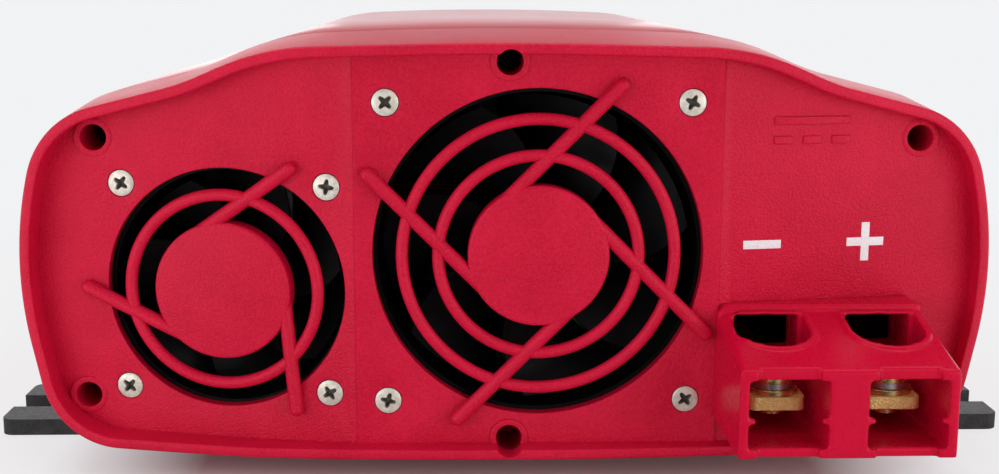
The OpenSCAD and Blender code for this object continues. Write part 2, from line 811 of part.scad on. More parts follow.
module upper_shell() color(painted_red) along_y(shell_y0, shell_y1) difference() {
    shell_section();
    below(seam_z);
    intersection() {
        polygon(outline(body_step - shell_wall / 2, body_crown));
        below(seam_z + lap_h + fit_gap);
    }
}

module lower_shell() color(painted_red) difference() {
    union() {
        along_y(shell_y0, shell_y1) {
            intersection() {
                shell_section();
                below(seam_z);
            }
            difference() {
                intersection() {
                    polygon(outline(body_step - shell_wall / 2 - fit_gap, body_crown));
                    below(seam_z + lap_h);
                }
                polygon(outline(body_step - shell_wall, body_crown));
                below(seam_z - lap_h);
            }
        }
        along_y(board_y0, board_y1) intersection() {
            polygon(outline(body_step - eps, body_crown));
            for (x = [-1, 1]) translate([x * rib_x - rib_w / 2, 0]) square([rib_w, board_top - board_t]);
        }
    }
    at_board_screws() translate([0, 0, -board_hole_d])
        cylinder(r = board_screw_r + eps * 2, h = board_hole_d + cut);
    at_foot_screws() translate([0, 0, -cut]) cylinder(r = foot_screw_r + eps * 2, h = foot_hole_h);
}

module case_screws() {
    for (p = screw_places) translate([p[0], cap_len - recess_floor_t, p[1]]) rotate([90, 0, 0])
        pan_screw(recess_r - fit_gap * 2, screw_head_h, case_screw_r, case_screw_len);
}

module dc_case_screws() color(steel) at_dc() case_screws();

module ac_case_screws() color(steel) at_ac() case_screws();

// Terminal shroud, in the DC end's place
module shroud_profile(raise) {
    front = rim_proud - shroud_reach;
    roof = rim_proud - roof_reach;
    bottom = rim_bottom + shroud_z;
    polygon([[front, bottom], [front, bottom + shroud_front_h + raise],
        [roof, bottom + shroud_roof_h - roof_strip_h + raise], [roof, bottom + shroud_roof_h],
        [cap_len, bottom + shroud_roof_h], [cap_len, bottom]]);
}

module across_x(x0, x1) {
    translate([x0, 0, 0]) rotate([90, 0, 90]) linear_extrude(x1 - x0) children();
}

module well_shape(r) {
    circle(r = r);
    translate([-r, 0]) square([2 * r, terminal_reach - roof_reach - well_back + r - well_r]);
}

module shroud_screw_holes(r) {
    for (z = shroud_screw_zs) translate([shroud_x, -cut, rim_bottom + z]) rotate([-90, 0, 0])
        cylinder(r = r, h = cap_len);
}

module terminal_shroud() color(red) at_dc() {
    x0 = shroud_x - shroud_w / 2;
    x1 = shroud_x + shroud_w / 2;
    front = rim_proud - shroud_reach;
    well_y = rim_proud - terminal_reach;
    difference() {
        union() {
            across_x(x0, x1) shroud_profile(0);
            intersection() {
                across_x(x0, x1) shroud_profile(well_raise);
                for (x = terminal_xs) translate([x, well_y, cavity_z]) linear_extrude(shroud_roof_h)
                    well_shape(well_r + well_lip);
            }
        }
        for (x = terminal_xs) {
            translate([x - cavity_w / 2, front - cut, cavity_z])
                cube([cavity_w, shroud_reach - cavity_rear + cut, cavity_h]);
            translate([x, well_y, cavity_z + cavity_h - cut]) linear_extrude(shroud_roof_h)
                well_shape(well_r);
            translate([x - cavity_w / 2 + wall_end_w, front - cut, 0])
                cube([cavity_w - 2 * wall_end_w, shroud_setback + cut, rim_top]);
            translate([x - bar_w / 2 - fit_gap, front, bar_z - fit_gap])
                cube([bar_w + 2 * fit_gap, cap_len + shroud_reach, bar_t + 2 * fit_gap]);
        }
        well_windows();
        swept_room(left_crease_x, right_crease_x);
        shroud_screw_holes(shroud_screw_r + eps * 2);
    }
}

// Windows behind the tool wells, through the shroud's back and the panel
module well_windows() {
    w = 2 * (well_r - window_side);
    z0 = cavity_z + cavity_h - cut;
    z1 = rim_bottom + shroud_z + shroud_roof_h - window_roof_t;
    for (x = terminal_xs) translate([x - w / 2, rim_proud - terminal_reach, z0]) cube([w, cap_len, z1 - z0]);
}

// Everything behind the front faces of a swept panel
module swept_room(left_x, right_x) {
    far = case_w;
    step_x = right_x + crease_step;
    translate([0, rim_proud, 0]) linear_extrude(rim_top) polygon([
        [left_x, 0], [right_x, 0], [step_x, panel_back(step_x, left_x, right_x)],
        [far, panel_back(far, left_x, right_x)], [far, cap_len * 2], [left_x, cap_len * 2]]);
}

module shroud_screws() color(steel) at_dc() {
    back = rim_proud + panel_back(shroud_x, left_crease_x, right_crease_x) + panel_t + shroud_screw_gap;
    for (z = shroud_screw_zs) translate([shroud_x, back, rim_bottom + z]) rotate([-90, 0, 0])
        pan_screw(shroud_head_r, shroud_head_h, shroud_screw_r, shroud_screw_len);
}

module terminal_bar(x) {
    front = rim_proud - terminal_reach;
    color(brass) at_dc() translate([x, front, bar_z]) difference() {
        linear_extrude(bar_t) {
            round_rect(bar_w, bar_w, bar_corner_r);
            translate([-bar_w / 2, 0]) square([bar_w, board_y0 - dc_rim_y - front + bar_board_lap]);
        }
        translate([0, 0, -cut]) cylinder(r = terminal_screw_r + eps * 2, h = bar_t + 2 * cut);
    }
}

module negative_bar() terminal_bar(terminal_xs[0]);

module positive_bar() terminal_bar(terminal_xs[1]);

module at_terminals(z) {
    at_dc() for (x = terminal_xs) translate([x, rim_proud - terminal_reach, bar_z + bar_t + z]) children();
}

module flat_washers() color(brass) at_terminals(0)
    tube(terminal_head_r + washer_over, terminal_screw_r + fit_gap, flat_washer_t);

module spring_washers() color(steel) at_terminals(flat_washer_t) rotate_extrude(angle = spring_turn)
    translate([terminal_screw_r + fit_gap, 0])
        square([terminal_head_r - terminal_screw_r - spring_under, spring_washer_t]);

module terminal_screws() color(brass) at_terminals(flat_washer_t + spring_washer_t)
    pan_screw(terminal_head_r, terminal_head_h, terminal_screw_r,
        flat_washer_t + spring_washer_t + bar_t + terminal_tip);

// Fans, in the place of their panel, where z points out of the case
module fan_frame(size, depth, pitch, duct_r, base_r) {
    translate([0, 0, -panel_t - depth]) difference() {
        union() {
            for (z = [0, depth - fan_flange_t]) translate([0, 0, z]) linear_extrude(fan_flange_t)
                round_rect(size, size, fan_corner_r);
            cylinder(r = duct_r + fan_duct_t, h = depth, $fn = 96);
        }
        difference() {
            translate([0, 0, -cut]) cylinder(r = duct_r, h = depth + 2 * cut, $fn = 96);
            cylinder(r = base_r, h = fan_base_t);
            for (a = fan_arm_angles) rotate([0, 0, a]) translate([0, -fan_arm_w / 2, 0])
                cube([duct_r + fan_duct_t / 2, fan_arm_w, fan_base_t]);
            cylinder(r = fan_post_r, h = depth * fan_bearing_part);
        }
        translate([0, 0, fan_floor_t]) cylinder(r = fan_bearing_r, h = depth);
        corners(pitch) translate([0, 0, -cut]) cylinder(r = fan_screw_r + fit_gap, h = depth + 2 * cut);
    }
}

module fan_bearing(depth) {
    translate([0, 0, fan_floor_t - panel_t - depth]) difference() {
        cylinder(r = fan_bearing_r - eps * 2, h = depth * fan_bearing_part - fan_floor_t);
        translate([0, 0, bearing_floor_t]) cylinder(r = fan_shaft_r + fan_shaft_gap, h = depth);
    }
}

module fan_stator(depth, base_r) {
    coil_r = base_r - magnet_gap;
    coil_h = depth * pole_part + pole_root;
    translate([0, 0, fan_base_t - panel_t - depth]) difference() {
        union() {
            for (a = [0 : 90 : 270]) rotate([0, 0, a]) translate([0, -pole_w / 2, pole_root / 2])
                cube([coil_r - coil_t / 4, pole_w, depth * pole_part]);
            tube(coil_r, coil_r - coil_t, coil_h);
            cylinder(r = fan_post_r + pole_root, h = coil_h);
        }
        translate([0, 0, -cut]) cylinder(r = fan_post_r + eps * 2, h = depth);
    }
}

// Blade: a strip of a curved plate, pitched so that air is drawn along the axis
module fan_blade(hub_r, tip_r, depth) {
    curve_r = depth * blade_curve;
    reach = depth * blade_reach;
    translate([hub_r - blade_root, 0, 0]) rotate([90, 0, 90]) linear_extrude(tip_r - hub_r + blade_root)
        intersection() {
            translate([curve_r * cos(blade_pitch), -curve_r * sin(blade_pitch)]) difference() {
                circle(r = curve_r + blade_t / 2, $fn = 72);
                circle(r = curve_r - blade_t / 2, $fn = 72);
            }
            square([reach * 2.3, reach * 2], center = true);
        }
}

module fan_rotor(depth, tip_r, hub_r) {
    hub_z0 = rotor_lift - panel_t - depth;
    hub_h = depth - rotor_lift - rotor_sink;
    difference() {
        union() {
            translate([0, 0, hub_z0]) cylinder(r = hub_r, h = hub_h);
            intersection() {
                for (i = [0 : blade_count - 1]) rotate([0, 0, i * 360 / blade_count])
                    translate([0, 0, hub_z0 + hub_h / 2]) fan_blade(hub_r, tip_r + cut, depth);
                translate([0, 0, hub_z0 + blade_inset])
                    tube(tip_r, hub_r - rotor_wall / 2, hub_h - 2 * blade_inset, $fn = 96);
            }
        }
        translate([0, 0, hub_z0 - cut]) cylinder(r = hub_r - rotor_wall, h = hub_h - rotor_roof_t + cut);
        translate([0, 0, hub_z0]) cylinder(r = fan_shaft_r + eps, h = depth);
    }
}

module fan_shaft(depth) {
    z0 = fan_floor_t + bearing_floor_t + shaft_play - panel_t - depth;
    translate([0, 0, z0]) cylinder(r = fan_shaft_r, h = -panel_t - rotor_sink - z0);
}

module fan_screws(pitch) {
    corners(pitch) flat_screw(fan_head_r, fan_screw_r, panel_t + fan_flange_t + fan_nut_h + fan_screw_tip);
}

module fan_nuts(pitch) {
    corners(pitch) translate([0, 0, -panel_t - fan_flange_t - fan_nut_h]) difference() {
        cylinder(r = fan_nut_r, h = fan_nut_h, $fn = 6);
        translate([0, 0, -cut]) cylinder(r = fan_screw_r + eps * 2, h = fan_nut_h + 2 * cut, $fn = 24);
    }
}

module large_fan_frame() color(dark) at_large_fan()
    fan_frame(large_fan_size, large_fan_depth, large_fan_pitch, large_duct_r, large_hub_r);
module large_fan_rotor() color(dark) at_large_fan()
    fan_rotor(large_fan_depth, large_duct_r - tip_gap, large_hub_r);
module large_fan_shaft() color(steel) at_large_fan() fan_shaft(large_fan_depth);
module large_fan_bearing() color(brass) at_large_fan() fan_bearing(large_fan_depth);
module large_fan_stator() color(copper) at_large_fan() fan_stator(large_fan_depth, large_hub_r);
module large_fan_screws() color(steel) at_large_fan() fan_screws(large_fan_pitch);
module large_fan_nuts() color(steel) at_large_fan() fan_nuts(large_fan_pitch);

module small_fan_frame() color(dark) at_small_fan()
    fan_frame(small_fan_size, small_fan_depth, small_fan_pitch, small_duct_r, small_hub_r);
module small_fan_rotor() color(dark) at_small_fan()
    fan_rotor(small_fan_depth, small_duct_r - tip_gap, small_hub_r);
module small_fan_shaft() color(steel) at_small_fan() fan_shaft(small_fan_depth);
module small_fan_bearing() color(brass) at_small_fan() fan_bearing(small_fan_depth);
module small_fan_stator() color(copper) at_small_fan() fan_stator(small_fan_depth, small_hub_r);
module small_fan_screws() color(steel) at_small_fan() fan_screws(small_fan_pitch);
module small_fan_nuts() color(steel) at_small_fan() fan_nuts(small_fan_pitch);

// Foot: a forked slab with a saddle that follows the body's underside
module foot(side, y) {
    slot_x = foot_reach - foot_slot_d + foot_slot_w / 2;
    color(charcoal) translate([0, y, 0]) mirror([side < 0 ? 1 : 0, 0, 0]) difference() {
        union() {
            linear_extrude(foot_t) translate([(foot_reach + foot_inner_x) / 2, 0])
                round_rect(foot_reach - foot_inner_x, foot_w, foot_corner_r);
            translate([foot_inner_x + foot_corner_r, -foot_w / 2, eps])
                cube([foot_pad_x - foot_inner_x - foot_corner_r, foot_w, foot_t + foot_pad_h]);
        }
        along_y(-foot_w, foot_w) polygon(outline(body_step, body_crown));
        translate([slot_x, 0, -cut]) linear_extrude(foot_t + foot_pad_h + 2 * cut) {
            circle(r = foot_slot_w / 2);
            translate([0, -foot_slot_w / 2]) square([foot_slot_d + cut, foot_slot_w]);
        }
        for (x = foot_screw_xs) translate([x, 0, -cut]) {
            cylinder(r = foot_head_r + fit_gap, h = foot_recess_d + cut);
            cylinder(r = foot_screw_r + fit_gap, h = foot_t + foot_pad_h + 2 * cut);
        }
    }
}

module front_left_foot() foot(-1, front_foot_y);

module front_right_foot() foot(1, front_foot_y);

module rear_left_foot() foot(-1, rear_foot_y);

module rear_right_foot() foot(1, rear_foot_y);

module at_foot_screws() {
    for (side = [-1, 1], x = foot_screw_xs, y = [front_foot_y, rear_foot_y])
        translate([side * x, y, 0]) children();
}

module foot_screws() color(steel) at_foot_screws() translate([0, 0, foot_recess_d]) rotate([180, 0, 0])
    pan_screw(foot_head_r, foot_head_h, foot_screw_r, foot_screw_len);

// AC end
module outlet(side) {
    color(dark) at_ac() on_middle(side * outlet_pitch / 2, rim_bottom + outlet_z) difference() {
        union() {
            linear_extrude(flange_t)
                round_rect(outlet_w + 2 * flange_lip, outlet_h + 2 * flange_lip, outlet_corner_r);
            translate([0, 0, -panel_t - outlet_depth]) linear_extrude(panel_t + outlet_depth + eps)
                square([outlet_w, outlet_h], center = true);
        }
        outlet_slots(0, panel_t + outlet_depth / 2);
        translate([0, 0, -slot_front_t]) outlet_slots(slot_grow, outlet_depth + panel_t);
    }
}

// The blade slots and earth hole of an outlet, widened by grow, cut depth deep
module outlet_slots(grow, depth) {
    translate([0, 0, -depth]) linear_extrude(depth + (grow > 0 ? 0 : flange_t + cut)) {
        for (i = [0, 1]) translate([(2 * i - 1) * blade_slot_x, blade_slot_y])
            square([blade_slot_w + grow * 2, blade_slot_hs[i] + grow * 2], center = true);
        translate([0, blade_slot_y - earth_drop]) circle(r = earth_r + grow * contact_t);
    }
}

module left_outlet() outlet(-1);

module right_outlet() outlet(1);

module outlet_contacts() color(brass) at_ac() at_outlets() {
    deep = panel_t + outlet_depth * 0.8;
    translate([0, 0, -deep - slot_front_t]) linear_extrude(deep)
        for (side = [-1, 1], face = [-1, 1])
            translate([side * blade_slot_x + face * contact_x, blade_slot_y])
                square([contact_t, contact_h], center = true);
    translate([0, blade_slot_y - earth_drop, -deep - slot_front_t])
        tube(earth_tube_r, earth_r + eps * 5, deep);
}

module at_switch() {
    at_ac() on_right(ac_crease_x, switch_run, rim_bottom + outlet_z) children();
}

module switch_housing() color(dark) at_switch() difference() {
    union() {
        linear_extrude(flange_t)
            round_rect(switch_w + 2 * flange_lip, switch_h + 2 * flange_lip, switch_corner_r);
        translate([0, 0, -panel_t - switch_depth]) linear_extrude(panel_t + switch_depth + eps)
            square([switch_w, switch_h], center = true);
    }
    translate([0, 0, -switch_depth + switch_floor_t]) linear_extrude(switch_depth + flange_t)
        square([switch_w - 2 * switch_wall, 2 * (rocker_end_r + rocker_gap)], center = true);
    rotate([0, 90, 0]) translate([0, 0, -switch_w / 2])
        cylinder(r = trunnion_r + trunnion_gap, h = switch_w, $fn = 32);
}

// Rocker, tipped to its off side; its trunnions turn in the housing's side walls
module power_rocker() color([0.1, 0.1, 0.1]) at_switch() rotate([rocker_tilt / 2, 0, 0]) {
    w = switch_w - 2 * (switch_wall + rocker_gap);
    intersection() {
        rotate([90, 0, 90]) translate([0, 0, -w / 2]) linear_extrude(w)
            polygon([[-rocker_end_r, rocker_skirt], [-rocker_end_r, rocker_face], [0, rocker_waist],
                [rocker_end_r, rocker_face], [rocker_end_r, rocker_skirt],
                [rocker_keel_w / 2, rocker_keel], [-rocker_keel_w / 2, rocker_keel]]);
        rotate([0, 90, 0]) cylinder(r = rocker_end_r, h = w, center = true, $fn = 96);
    }
    rotate([0, 90, 0])
        cylinder(r = trunnion_r, h = w + 2 * (rocker_gap + trunnion_len), center = true, $fn = 32);
}

module at_usb() {
    at_ac() on_left(-ac_crease_x, usb_run, usb_z) children();
}

module usb_shell() color(steel) at_usb() translate([0, 0, -panel_t - usb_depth]) difference() {
    linear_extrude(panel_t + usb_depth + usb_proud) square([usb_w, usb_h], center = true);
    for (y = [-1, 1]) translate([0, y * usb_h / 4, 2 * usb_wall])
        linear_extrude(panel_t + usb_depth + usb_proud)
            square([usb_w - 2 * usb_wall, usb_h / 2 - 2 * usb_wall], center = true);
}

module usb_tongues() color(dark) at_usb() for (y = [-1, 1])
    translate([0, y * usb_h / 4 + usb_tongue_lift, 2 * usb_wall - panel_t - usb_depth])
        linear_extrude(panel_t + usb_depth - usb_tongue_back)
            square([usb_w - 4 * usb_wall, usb_tongue_t], center = true);

module indicator_lenses() color([0.2, 0.8, 0.3]) at_ac() for (i = [0, 1])
    on_middle((i - 0.5) * lens_pitch, lens_z) {
        translate([0, 0, -panel_t]) cylinder(r = lens_r, h = panel_t, $fn = 32);
        translate([0, 0, -panel_t - lens_flange_t])
            cylinder(r = lens_r + lens_flange, h = lens_flange_t, $fn = 32);
        intersection() {
            sphere(r = lens_r, $fn = 32);
            cylinder(r = lens_r, h = lens_r * lens_dome);
        }
    }

// Inside: what stands on the circuit board
module on_board(x, y) {
    translate([x, y, board_top]) children();
}

module block(w, l, h) {
    translate([-w / 2, -l / 2, 0]) cube([w, l, h]);
}

module at_board_screws() {
    for (x = [-1, 1], y = [board_y0 + rib_inset, board_mid_y, board_y1 - rib_inset])
        translate([x * rib_x, y, board_top]) children();
}

module circuit_board() color([0.1, 0.35, 0.2]) difference() {
    translate([-board_half_w, board_y0, board_top - board_t])
        cube([2 * board_half_w, board_y1 - board_y0, board_t]);
    at_board_screws() translate([0, 0, -board_t - cut])
        cylinder(r = board_screw_r + fit_gap, h = board_t + 2 * cut);
}

module board_screws() color(steel) at_board_screws()
    pan_screw(board_head_r, board_head_h, board_screw_r, board_t + board_screw_bite);

transformer_xs = [-28, 28];
transformer_y = board_mid_y - 20;
core_w = 42;
core_len = 24;
core_leg = 6;
core_middle = 12;
bobbin_t = 2;
window_w = (core_w - core_middle) / 2 - core_leg;
window_h = transformer_h - bobbin_t - 2 * core_leg;

module at_transformers() {
    for (x = transformer_xs) on_board(x, transformer_y) children();
}

module transformer_cores() color(charcoal) at_transformers() translate([0, 0, bobbin_t]) difference() {
    block(core_w, core_len, transformer_h - bobbin_t);
    for (x = [-1, 1]) translate([x * (core_middle + window_w) / 2, 0, core_leg])
        block(window_w, core_len + 2 * cut, window_h);
}

// Winding on its bobbin, whose foot carries the core
module transformer_windings() color(copper) at_transformers() {
    block(core_w - core_leg, transformer_len, bobbin_t);
    for (y = [-1, 1]) translate([0, y * (transformer_len + core_len) / 4, 0])
        block(core_middle, (transformer_len - core_len) / 2 - 2 * fit_gap,
            bobbin_t + core_leg + fit_gap + eps);
    translate([0, 0, bobbin_t + core_leg + fit_gap]) difference() {
        block(core_middle + 2 * window_w - 2 * fit_gap, transformer_len, window_h - 2 * fit_gap);
        translate([0, 0, -cut]) block(core_middle + 2 * fit_gap, core_len + 2 * fit_gap, window_h + 2 * cut);
    }
}

// Capacitor: a can with a groove rolled in above its foot and a shallow dish in its top
module capacitor(r, h) {
    groove = 0.6;
    neck = r - groove;
    rotate_extrude($fn = 32) polygon([[0, 0], [neck, 0], [neck, 1], [r, 1 + groove], [r, 3],
        [neck, 3 + groove], [r, 3 + 2 * groove], [r, h - 1], [r - 1, h], [r / 2, h],
        [r / 2, h - groove], [0, h - groove]]);
}

input_cap_x = -66;
input_cap_pitch = 18;
input_cap_y = board_y0 + 12;
input_cap_count = 5;
output_cap_xs = [-48, -12];
output_cap_y = board_y1 - 24;

module input_capacitors() color([0.1, 0.12, 0.3]) for (i = [0 : input_cap_count - 1])
    on_board(input_cap_x + i * input_cap_pitch, input_cap_y) capacitor(input_cap_r, input_cap_h);

module output_capacitors() color([0.1, 0.12, 0.3]) for (x = output_cap_xs)
    on_board(x, output_cap_y) capacitor(output_cap_r, output_cap_h);

choke_r = 17;
choke_core_w = 8;
choke_core_h = 14;
choke_wire = 2.4;
choke_turn = 160;
choke_x = 34;
choke_y = board_y1 - 26;

module at_choke() {
    on_board(choke_x, choke_y) children();
}

module choke_core() color([0.85, 0.75, 0.2]) at_choke() translate([0, 0, choke_wire])
    tube(choke_r + choke_core_w / 2, choke_r - choke_core_w / 2, choke_core_h);

module choke_coil() color(copper) at_choke() for (a = [10, 190]) rotate([0, 0, a])
    rotate_extrude(angle = choke_turn) translate([choke_r, 0]) difference() {
        translate([-choke_core_w / 2 - choke_wire, 0])
            square([choke_core_w + 2 * choke_wire, choke_core_h + 2 * choke_wire]);
        translate([-choke_core_w / 2 - fit_gap, choke_wire - fit_gap])
            square([choke_core_w + 2 * fit_gap, choke_core_h + 2 * fit_gap]);
    }

sink_x = 62;
sink_t = 4;
sink_fins = 6;
sink_fin_d = 9;
sink_fin_t = 2;
sink_y = board_mid_y + 6;

module heat_sink(side) {
    color([0.7, 0.71, 0.73]) on_board(side * sink_x, sink_y) mirror([side < 0 ? 1 : 0, 0, 0])
        translate([0, sink_len / 2, 0]) rotate([90, 0, 0]) linear_extrude(sink_len) {
            square([sink_t, sink_h]);
            for (i = [0 : sink_fins - 1]) translate([0, i * (sink_h - sink_fin_t) / (sink_fins - 1)])
                square([sink_t + sink_fin_d, sink_fin_t]);
        }
}

module left_heat_sink() heat_sink(-1);

module right_heat_sink() heat_sink(1);

transistor_count = 6;
transistor = [4.6, 10, 16];
transistor_lift = 5;
lead = [0.6, 0.8];
lead_pitch = 2.5;
lead_x = 2.6;

module power_transistors() color(dark) for (side = [-1, 1], i = [0 : transistor_count - 1])
    on_board(side * sink_x, sink_y + (i + 0.5 - transistor_count / 2) * sink_len / transistor_count)
        mirror([side < 0 ? 1 : 0, 0, 0]) {
            translate([-transistor[0], -transistor[1] / 2, transistor_lift]) cube(transistor);
            for (i = [-1 : 1]) translate([-lead_x, i * lead_pitch - lead[1] / 2, 0])
                cube([lead[0], lead[1], transistor_lift + eps]);
        }

fuse_count = 5;
fuse_pitch = 8;
fuse_x = 28;
fuse_y = board_y0 + 6;
fuse_holder = [20, 5, 10];
fuse_top = [16, 3.6, 6];

module input_fuses() color([0.2, 0.6, 0.3]) for (i = [0 : fuse_count - 1])
    on_board(fuse_x, fuse_y + i * fuse_pitch) {
        block(fuse_holder[0], fuse_holder[1], fuse_holder[2]);
        translate([0, 0, fuse_holder[2]]) block(fuse_top[0], fuse_top[1], fuse_top[2]);
    }

dc_end_cap();
ac_end_cap();
upper_shell();
lower_shell();
dc_case_screws();
ac_case_screws();
terminal_shroud();
shroud_screws();
negative_bar();
positive_bar();
terminal_screws();
spring_washers();
flat_washers();
large_fan_frame();
large_fan_rotor();
large_fan_shaft();
large_fan_bearing();
large_fan_stator();
large_fan_screws();
large_fan_nuts();
small_fan_frame();
small_fan_rotor();
small_fan_shaft();
small_fan_bearing();
small_fan_stator();
small_fan_screws();
small_fan_nuts();
front_left_foot();
front_right_foot();
rear_left_foot();
rear_right_foot();
foot_screws();
left_outlet();
right_outlet();
outlet_contacts();
switch_housing();
power_rocker();
usb_shell();
usb_tongues();
indicator_lenses();
circuit_board();
board_screws();
transformer_cores();
transformer_windings();
input_capacitors();
output_capacitors();
choke_core();
choke_coil();
left_heat_sink();
right_heat_sink();
power_transistors();
input_fuses();
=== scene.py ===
from math import acos, cos, pi, radians, sin, tan

import bmesh
import bpy
from mathutils import Matrix, Vector
from mathutils.geometry import delaunay_2d_cdt


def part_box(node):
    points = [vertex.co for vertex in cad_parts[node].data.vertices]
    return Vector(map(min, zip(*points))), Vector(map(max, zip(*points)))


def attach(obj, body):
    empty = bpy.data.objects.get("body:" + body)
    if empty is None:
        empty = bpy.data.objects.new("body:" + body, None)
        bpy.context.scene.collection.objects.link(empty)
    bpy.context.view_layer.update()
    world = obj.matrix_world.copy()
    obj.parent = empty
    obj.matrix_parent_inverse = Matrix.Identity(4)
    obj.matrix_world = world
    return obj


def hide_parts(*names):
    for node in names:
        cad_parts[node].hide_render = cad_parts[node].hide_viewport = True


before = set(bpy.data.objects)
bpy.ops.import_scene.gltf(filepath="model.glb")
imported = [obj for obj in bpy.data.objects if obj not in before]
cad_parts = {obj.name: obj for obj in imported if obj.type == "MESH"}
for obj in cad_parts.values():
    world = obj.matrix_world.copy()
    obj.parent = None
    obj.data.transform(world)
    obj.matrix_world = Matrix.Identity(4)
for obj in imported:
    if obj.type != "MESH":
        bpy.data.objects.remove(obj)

scene = bpy.context.scene
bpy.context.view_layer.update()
mm = 0.001
still, toMm = Matrix.Identity(4), Matrix.Scale(1 / mm, 4)
upright = Matrix.Rotation(pi / 2, 4, "X")
print("frame loaded:", len(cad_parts), "nodes")


# node trees: a socket with operators, and one method that makes any node

def plug(tree, socket, value):
    if isinstance(value, Wire):
        tree.links.new(value.socket, socket)
    else:
        socket.default_value = (*value, 1.0) if socket.type == "RGBA" else value


class Wire:
    def __init__(self, tree, socket):
        self.tree, self.socket = tree, socket

    def math(self, operation, other=0.0, turned=False):
        made = self.tree.nodes.new("ShaderNodeMath")
        made.operation = operation
        for socket, value in zip(made.inputs, (other, self) if turned else (self, other)):
            plug(self.tree, socket, value)
        return Wire(self.tree, made.outputs[0])

    def __add__(self, other): return self.math("ADD", other)
    def __sub__(self, other): return self.math("SUBTRACT", other)
    def __rsub__(self, other): return self.math("SUBTRACT", other, True)
    def __mul__(self, other): return self.math("MULTIPLY", other)
    def __truediv__(self, other): return self.math("DIVIDE", other)
    def __pow__(self, other): return self.math("POWER", other)

    def out(self, name):
        return Wire(self.tree, self.socket.node.outputs[name])


class Bench:
    def __init__(self, tree):
        self.tree = tree

    def node(self, kind, sockets=None, out=0, **settings):
        made = self.tree.nodes.new(kind)
        for key, value in settings.items():
            setattr(made, key, value)
        for key, value in (sockets or {}).items():
            plug(self.tree, made.inputs[key], value)
        return Wire(self.tree, made.outputs[out])

    def span(self, value, low, high, least=0.0, most=1.0):
        sockets = {0: value, 1: low, 2: high, 3: least, 4: most}
        return self.node("ShaderNodeMapRange", sockets, clamp=True)


class Finish(Bench):
    noiseSpan = (0.3, 0.7)    # where most of a noise lies
    names = {"colour": "Base Color", "rough": "Roughness", "metal": "Metallic",
             "coat": "Coat Weight", "coatRough": "Coat Roughness", "normal": "Normal",
             "specular": "Specular IOR Level", "tint": "Specular Tint",
             "subsurface": "Subsurface Weight"}

    def __init__(self, name):
        self.material = bpy.data.materials.new(name)
        self.material.use_nodes = True
        super().__init__(self.material.node_tree)
        self.skin = self.tree.nodes["Principled BSDF"]
        self.place = self.node("ShaderNodeTexCoord", out="Object")

    def noise(self, size, stretch=None, detail=3.0, roughness=0.6):
        # sizes of textures are in millimetres
        place = self.place
        if stretch:
            place = self.node("ShaderNodeMapping", {"Vector": place, "Scale": stretch})
        return self.node("ShaderNodeTexNoise", {
            "Vector": place, "Scale": 1 / (size * mm), "Detail": detail, "Roughness": roughness})

    def soft(self, size):
        return self.noise(size, None, 2.0, 0.5)

    def patches(self, size, stretch=None):
        return self.noise(size, stretch, 4.0, 0.65)

    def cells(self, size, feature="F1"):
        sockets = {"Vector": self.place, "Scale": 1 / (size * mm)}
        return self.node("ShaderNodeTexVoronoi", sockets, feature=feature)

    def marked(self, name):
        return self.node("ShaderNodeAttribute", out="Fac", attribute_name=name)

    def sway(self, value, least, most):
        return self.span(value, *self.noiseSpan, least, most)

    def mix(self, share, first, second):
        return self.node("ShaderNodeMix", {0: share, 6: first, 7: second}, 2, data_type="RGBA")

    def tones(self, value, colours, at=noiseSpan):
        return self.mix(self.span(value, *at), *colours)

    def bump(self, height, depth, strength):
        return self.node("ShaderNodeBump", {
            "Height": height, "Distance": depth * mm, "Strength": strength})

    def put(self, **values):
        for key, value in values.items():
            plug(self.tree, self.skin.inputs[self.names[key]], value)
        return self.material


# finishes

grainRed = {"tones": ((0.485, 0.0019, 0.025), (0.65, 0.0072, 0.045)), "tint": (1.0, 0.42, 0.46),
            "speck": (0.62, 0.10, 0.12), "rough": (0.30, 0.44), "pit": 0.54, "depth": 0.30}


def makeGrainRed():
    # spark-eroded mould texture: fine pits on a slow unevenness
    it = Finish("cap_red_grain")
    pits, fine = it.noise(grainRed["pit"], None, 2.0, 0.55), it.noise(0.30, None, 1.0, 0.5)
    slow, cloud = it.noise(34.0), it.soft(9.0)
    shade = slow * 0.35 + pits * 0.5 + cloud * 0.15
    specks = it.span(it.cells(5.3), 0.0, 0.05, 1.0, 0.0) * it.span(it.soft(3.1), 0.56, 0.6)
    colour = it.tones(shade, grainRed["tones"], (0.36, 0.64))
    return it.put(
        colour=it.mix(specks * 0.25, colour, grainRed["speck"]),
        rough=it.sway(pits * 0.5 + slow * 0.5, *grainRed["rough"]),
        normal=it.bump(pits * 0.75 + fine * 0.25, grainRed["depth"], 0.85),
        specular=0.38, tint=grainRed["tint"])


# the darkest tone is painted shade for the deep parts of the screw bores
satinRed = {"tones": ((0.51, 0.0016, 0.025), (0.59, 0.0033, 0.036)), "tint": (1.0, 0.34, 0.38),
            "scuff": (0.62, 0.08, 0.10), "grime": (0.012, 0.0035, 0.003), "rough": (0.24, 0.35)}


def makeSatinRed():
    # smoother moulding: faint flow marks, hairline scuffs, and painted shade deep in the screw
    # bores
    it = Finish("cap_red_satin")
    flow, skin = it.noise(26.0, (1.0, 0.35, 1.0)), it.noise(1.1)
    scuffs = it.span(it.noise(2.2, (0.12, 1.0, 1.0)), 0.6, 0.75)
    colour = it.tones(flow * 0.7 + skin * 0.3, satinRed["tones"], (0.35, 0.65))
    colour = it.mix(scuffs * 0.05, colour, satinRed["scuff"])
    # painted shade: the deeper a point lies in a screw bore, the darker its colour
    grime = it.marked("boreShade") * it.span(skin, 0.2, 0.7, 1.0, 0.92)
    return it.put(
        colour=it.mix(grime, colour, satinRed["grime"]),
        rough=it.sway(skin, *satinRed["rough"]) + scuffs * 0.05,
        normal=it.bump(skin * 0.7 + flow * 0.3, 0.022, 0.4),
        specular=0.30, tint=satinRed["tint"])


